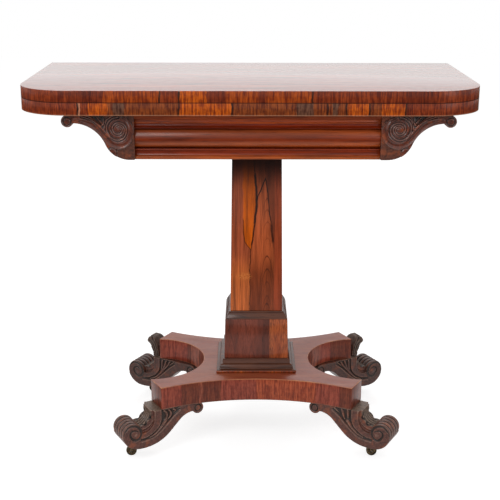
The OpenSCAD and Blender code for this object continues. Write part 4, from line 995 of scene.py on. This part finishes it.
def carveBracket(node, name, side, depth, lean):
    size = bracketSizes
    bracket = copyOfNode(node, name)
    spots, normals = readyToCarve(bracket, size["voxel"])
    out, front = (spots[:, 0] - footSizes["middleX"]) * side, spots[:, 1] * depth
    face = np.stack([out, spots[:, 2]], 1)
    height = sinkGround(face, np.zeros(len(out)), bracketGround, size["groundDepth"])
    height = carveStrokes(face, height, bracketStrokes)
    facing = turnedTo(normals[:, 1] * depth) * (front > size["face"] - 8)
    relief = np.where(facing > 0.3, 0.6 + np.where(height > 0, height / 2.8, height / 4), 0.6)
    hollow = carveStrokes(face, np.zeros(len(out)), [(bandHollow, [2, 4.5, 5, 5, 5, 4.5, 4, 2], 0, -1.5)])
    height = np.minimum(height, hollow)
    # the two front ones were cut by hand and differ by a few millimetres
    out = out + lean * np.clip((out - size["leanFrom"]) / size["leanWidth"], 0, 1)
    spots[:, 0] = footSizes["middleX"] + out * side
    spots[:, 1] = (front + height * facing) * depth
    finishCarving(bracket, spots, relief, np.where(front > size["face"] - 2, 1.0, 0.85), "carvedBrackets")


carveBracket("bracket_front_right", "bracketFrontRight", 1, -1, 2.2)
carveBracket("bracket_front_left", "bracketFrontLeft", -1, -1, -2.2)
carveBracket("bracket_rear_right", "bracketRearRight", 1, 1, 0)
carveBracket("bracket_rear_left", "bracketRearLeft", -1, 1, 0)
print("brackets carved")

# each baize is one sheet, cut to the shallow bed in its leaf and glued down
baizeSizes = {"width": 0.7958, "depth": 0.3979, "backY": 0.220, "corner": 0.0619, "thickness": 1 * mm,
              "unevenness": 0.12 * mm}


def layBaize(node, name, underside):
    deselectAll()
    size = baizeSizes
    middleY = size["backY"] - size["depth"] / 2
    bpy.ops.mesh.primitive_plane_add(size=1, location=(0, middleY, underside + size["thickness"] / 2))
    cloth = bpy.context.object
    cloth.name = name
    cloth.scale = (size["width"], size["depth"], 1)
    bpy.ops.object.transform_apply(location=True, rotation=True, scale=True)
    bpy.ops.object.mode_set(mode="EDIT")
    bpy.ops.mesh.select_all(action="DESELECT")
    bpy.ops.object.mode_set(mode="OBJECT")
    for vertex in cloth.data.vertices:
        vertex.select = vertex.co.y < middleY
    bpy.ops.object.mode_set(mode="EDIT")
    bpy.ops.mesh.bevel(offset=size["corner"], segments=14, affect="VERTICES")
    cutAcross(np.arange(-0.38, 0.39, 0.02), (1, 0, 0))
    cutAcross(np.arange(-0.16, 0.21, 0.02), (0, 1, 0))
    bpy.ops.object.mode_set(mode="OBJECT")
    for vertex in cloth.data.vertices:
        x, y = vertex.co.x, vertex.co.y
        swell = math.sin(x * 61) * math.sin(y * 47 + 1) + math.sin(x * 23 + y * 31)
        vertex.co.z += size["unevenness"] * swell / 2
    # the cloth is a little thinner than its bed is deep
    applyModifier(cloth, "woolThickness", "SOLIDIFY", {"thickness": size["thickness"] * 0.7, "offset": 0})
    smoothWithinAngle()
    cloth.data.materials.append(materials["baize"])
    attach(cloth, bodyOf(node))
    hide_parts(node)


layBaize("lower_baize", "lowerBaize", 0.7430)
layBaize("upper_baize", "upperBaize", 0.7444)
print("baize laid")


# the CAD pieces themselves: inner timber, metal, and rails behind the mouldings
finishBySlot = {"pine": "pine", "brass": "brass", "iron": "iron", "baize": "baize",
        "rosewood": "friezeVeneer", "carved_rosewood": "carvedFeet"}
castorParts = ("wheel_", "fork_", "axle_", "castor_")
for node, shown in frame["nodes"].items():
    finish = finishBySlot[slotOf(node)]
    if finish == "brass" and node.startswith(castorParts):
        finish = "castorBrass"
    shown.data.materials.clear()
    shown.data.materials.append(materials[finish])
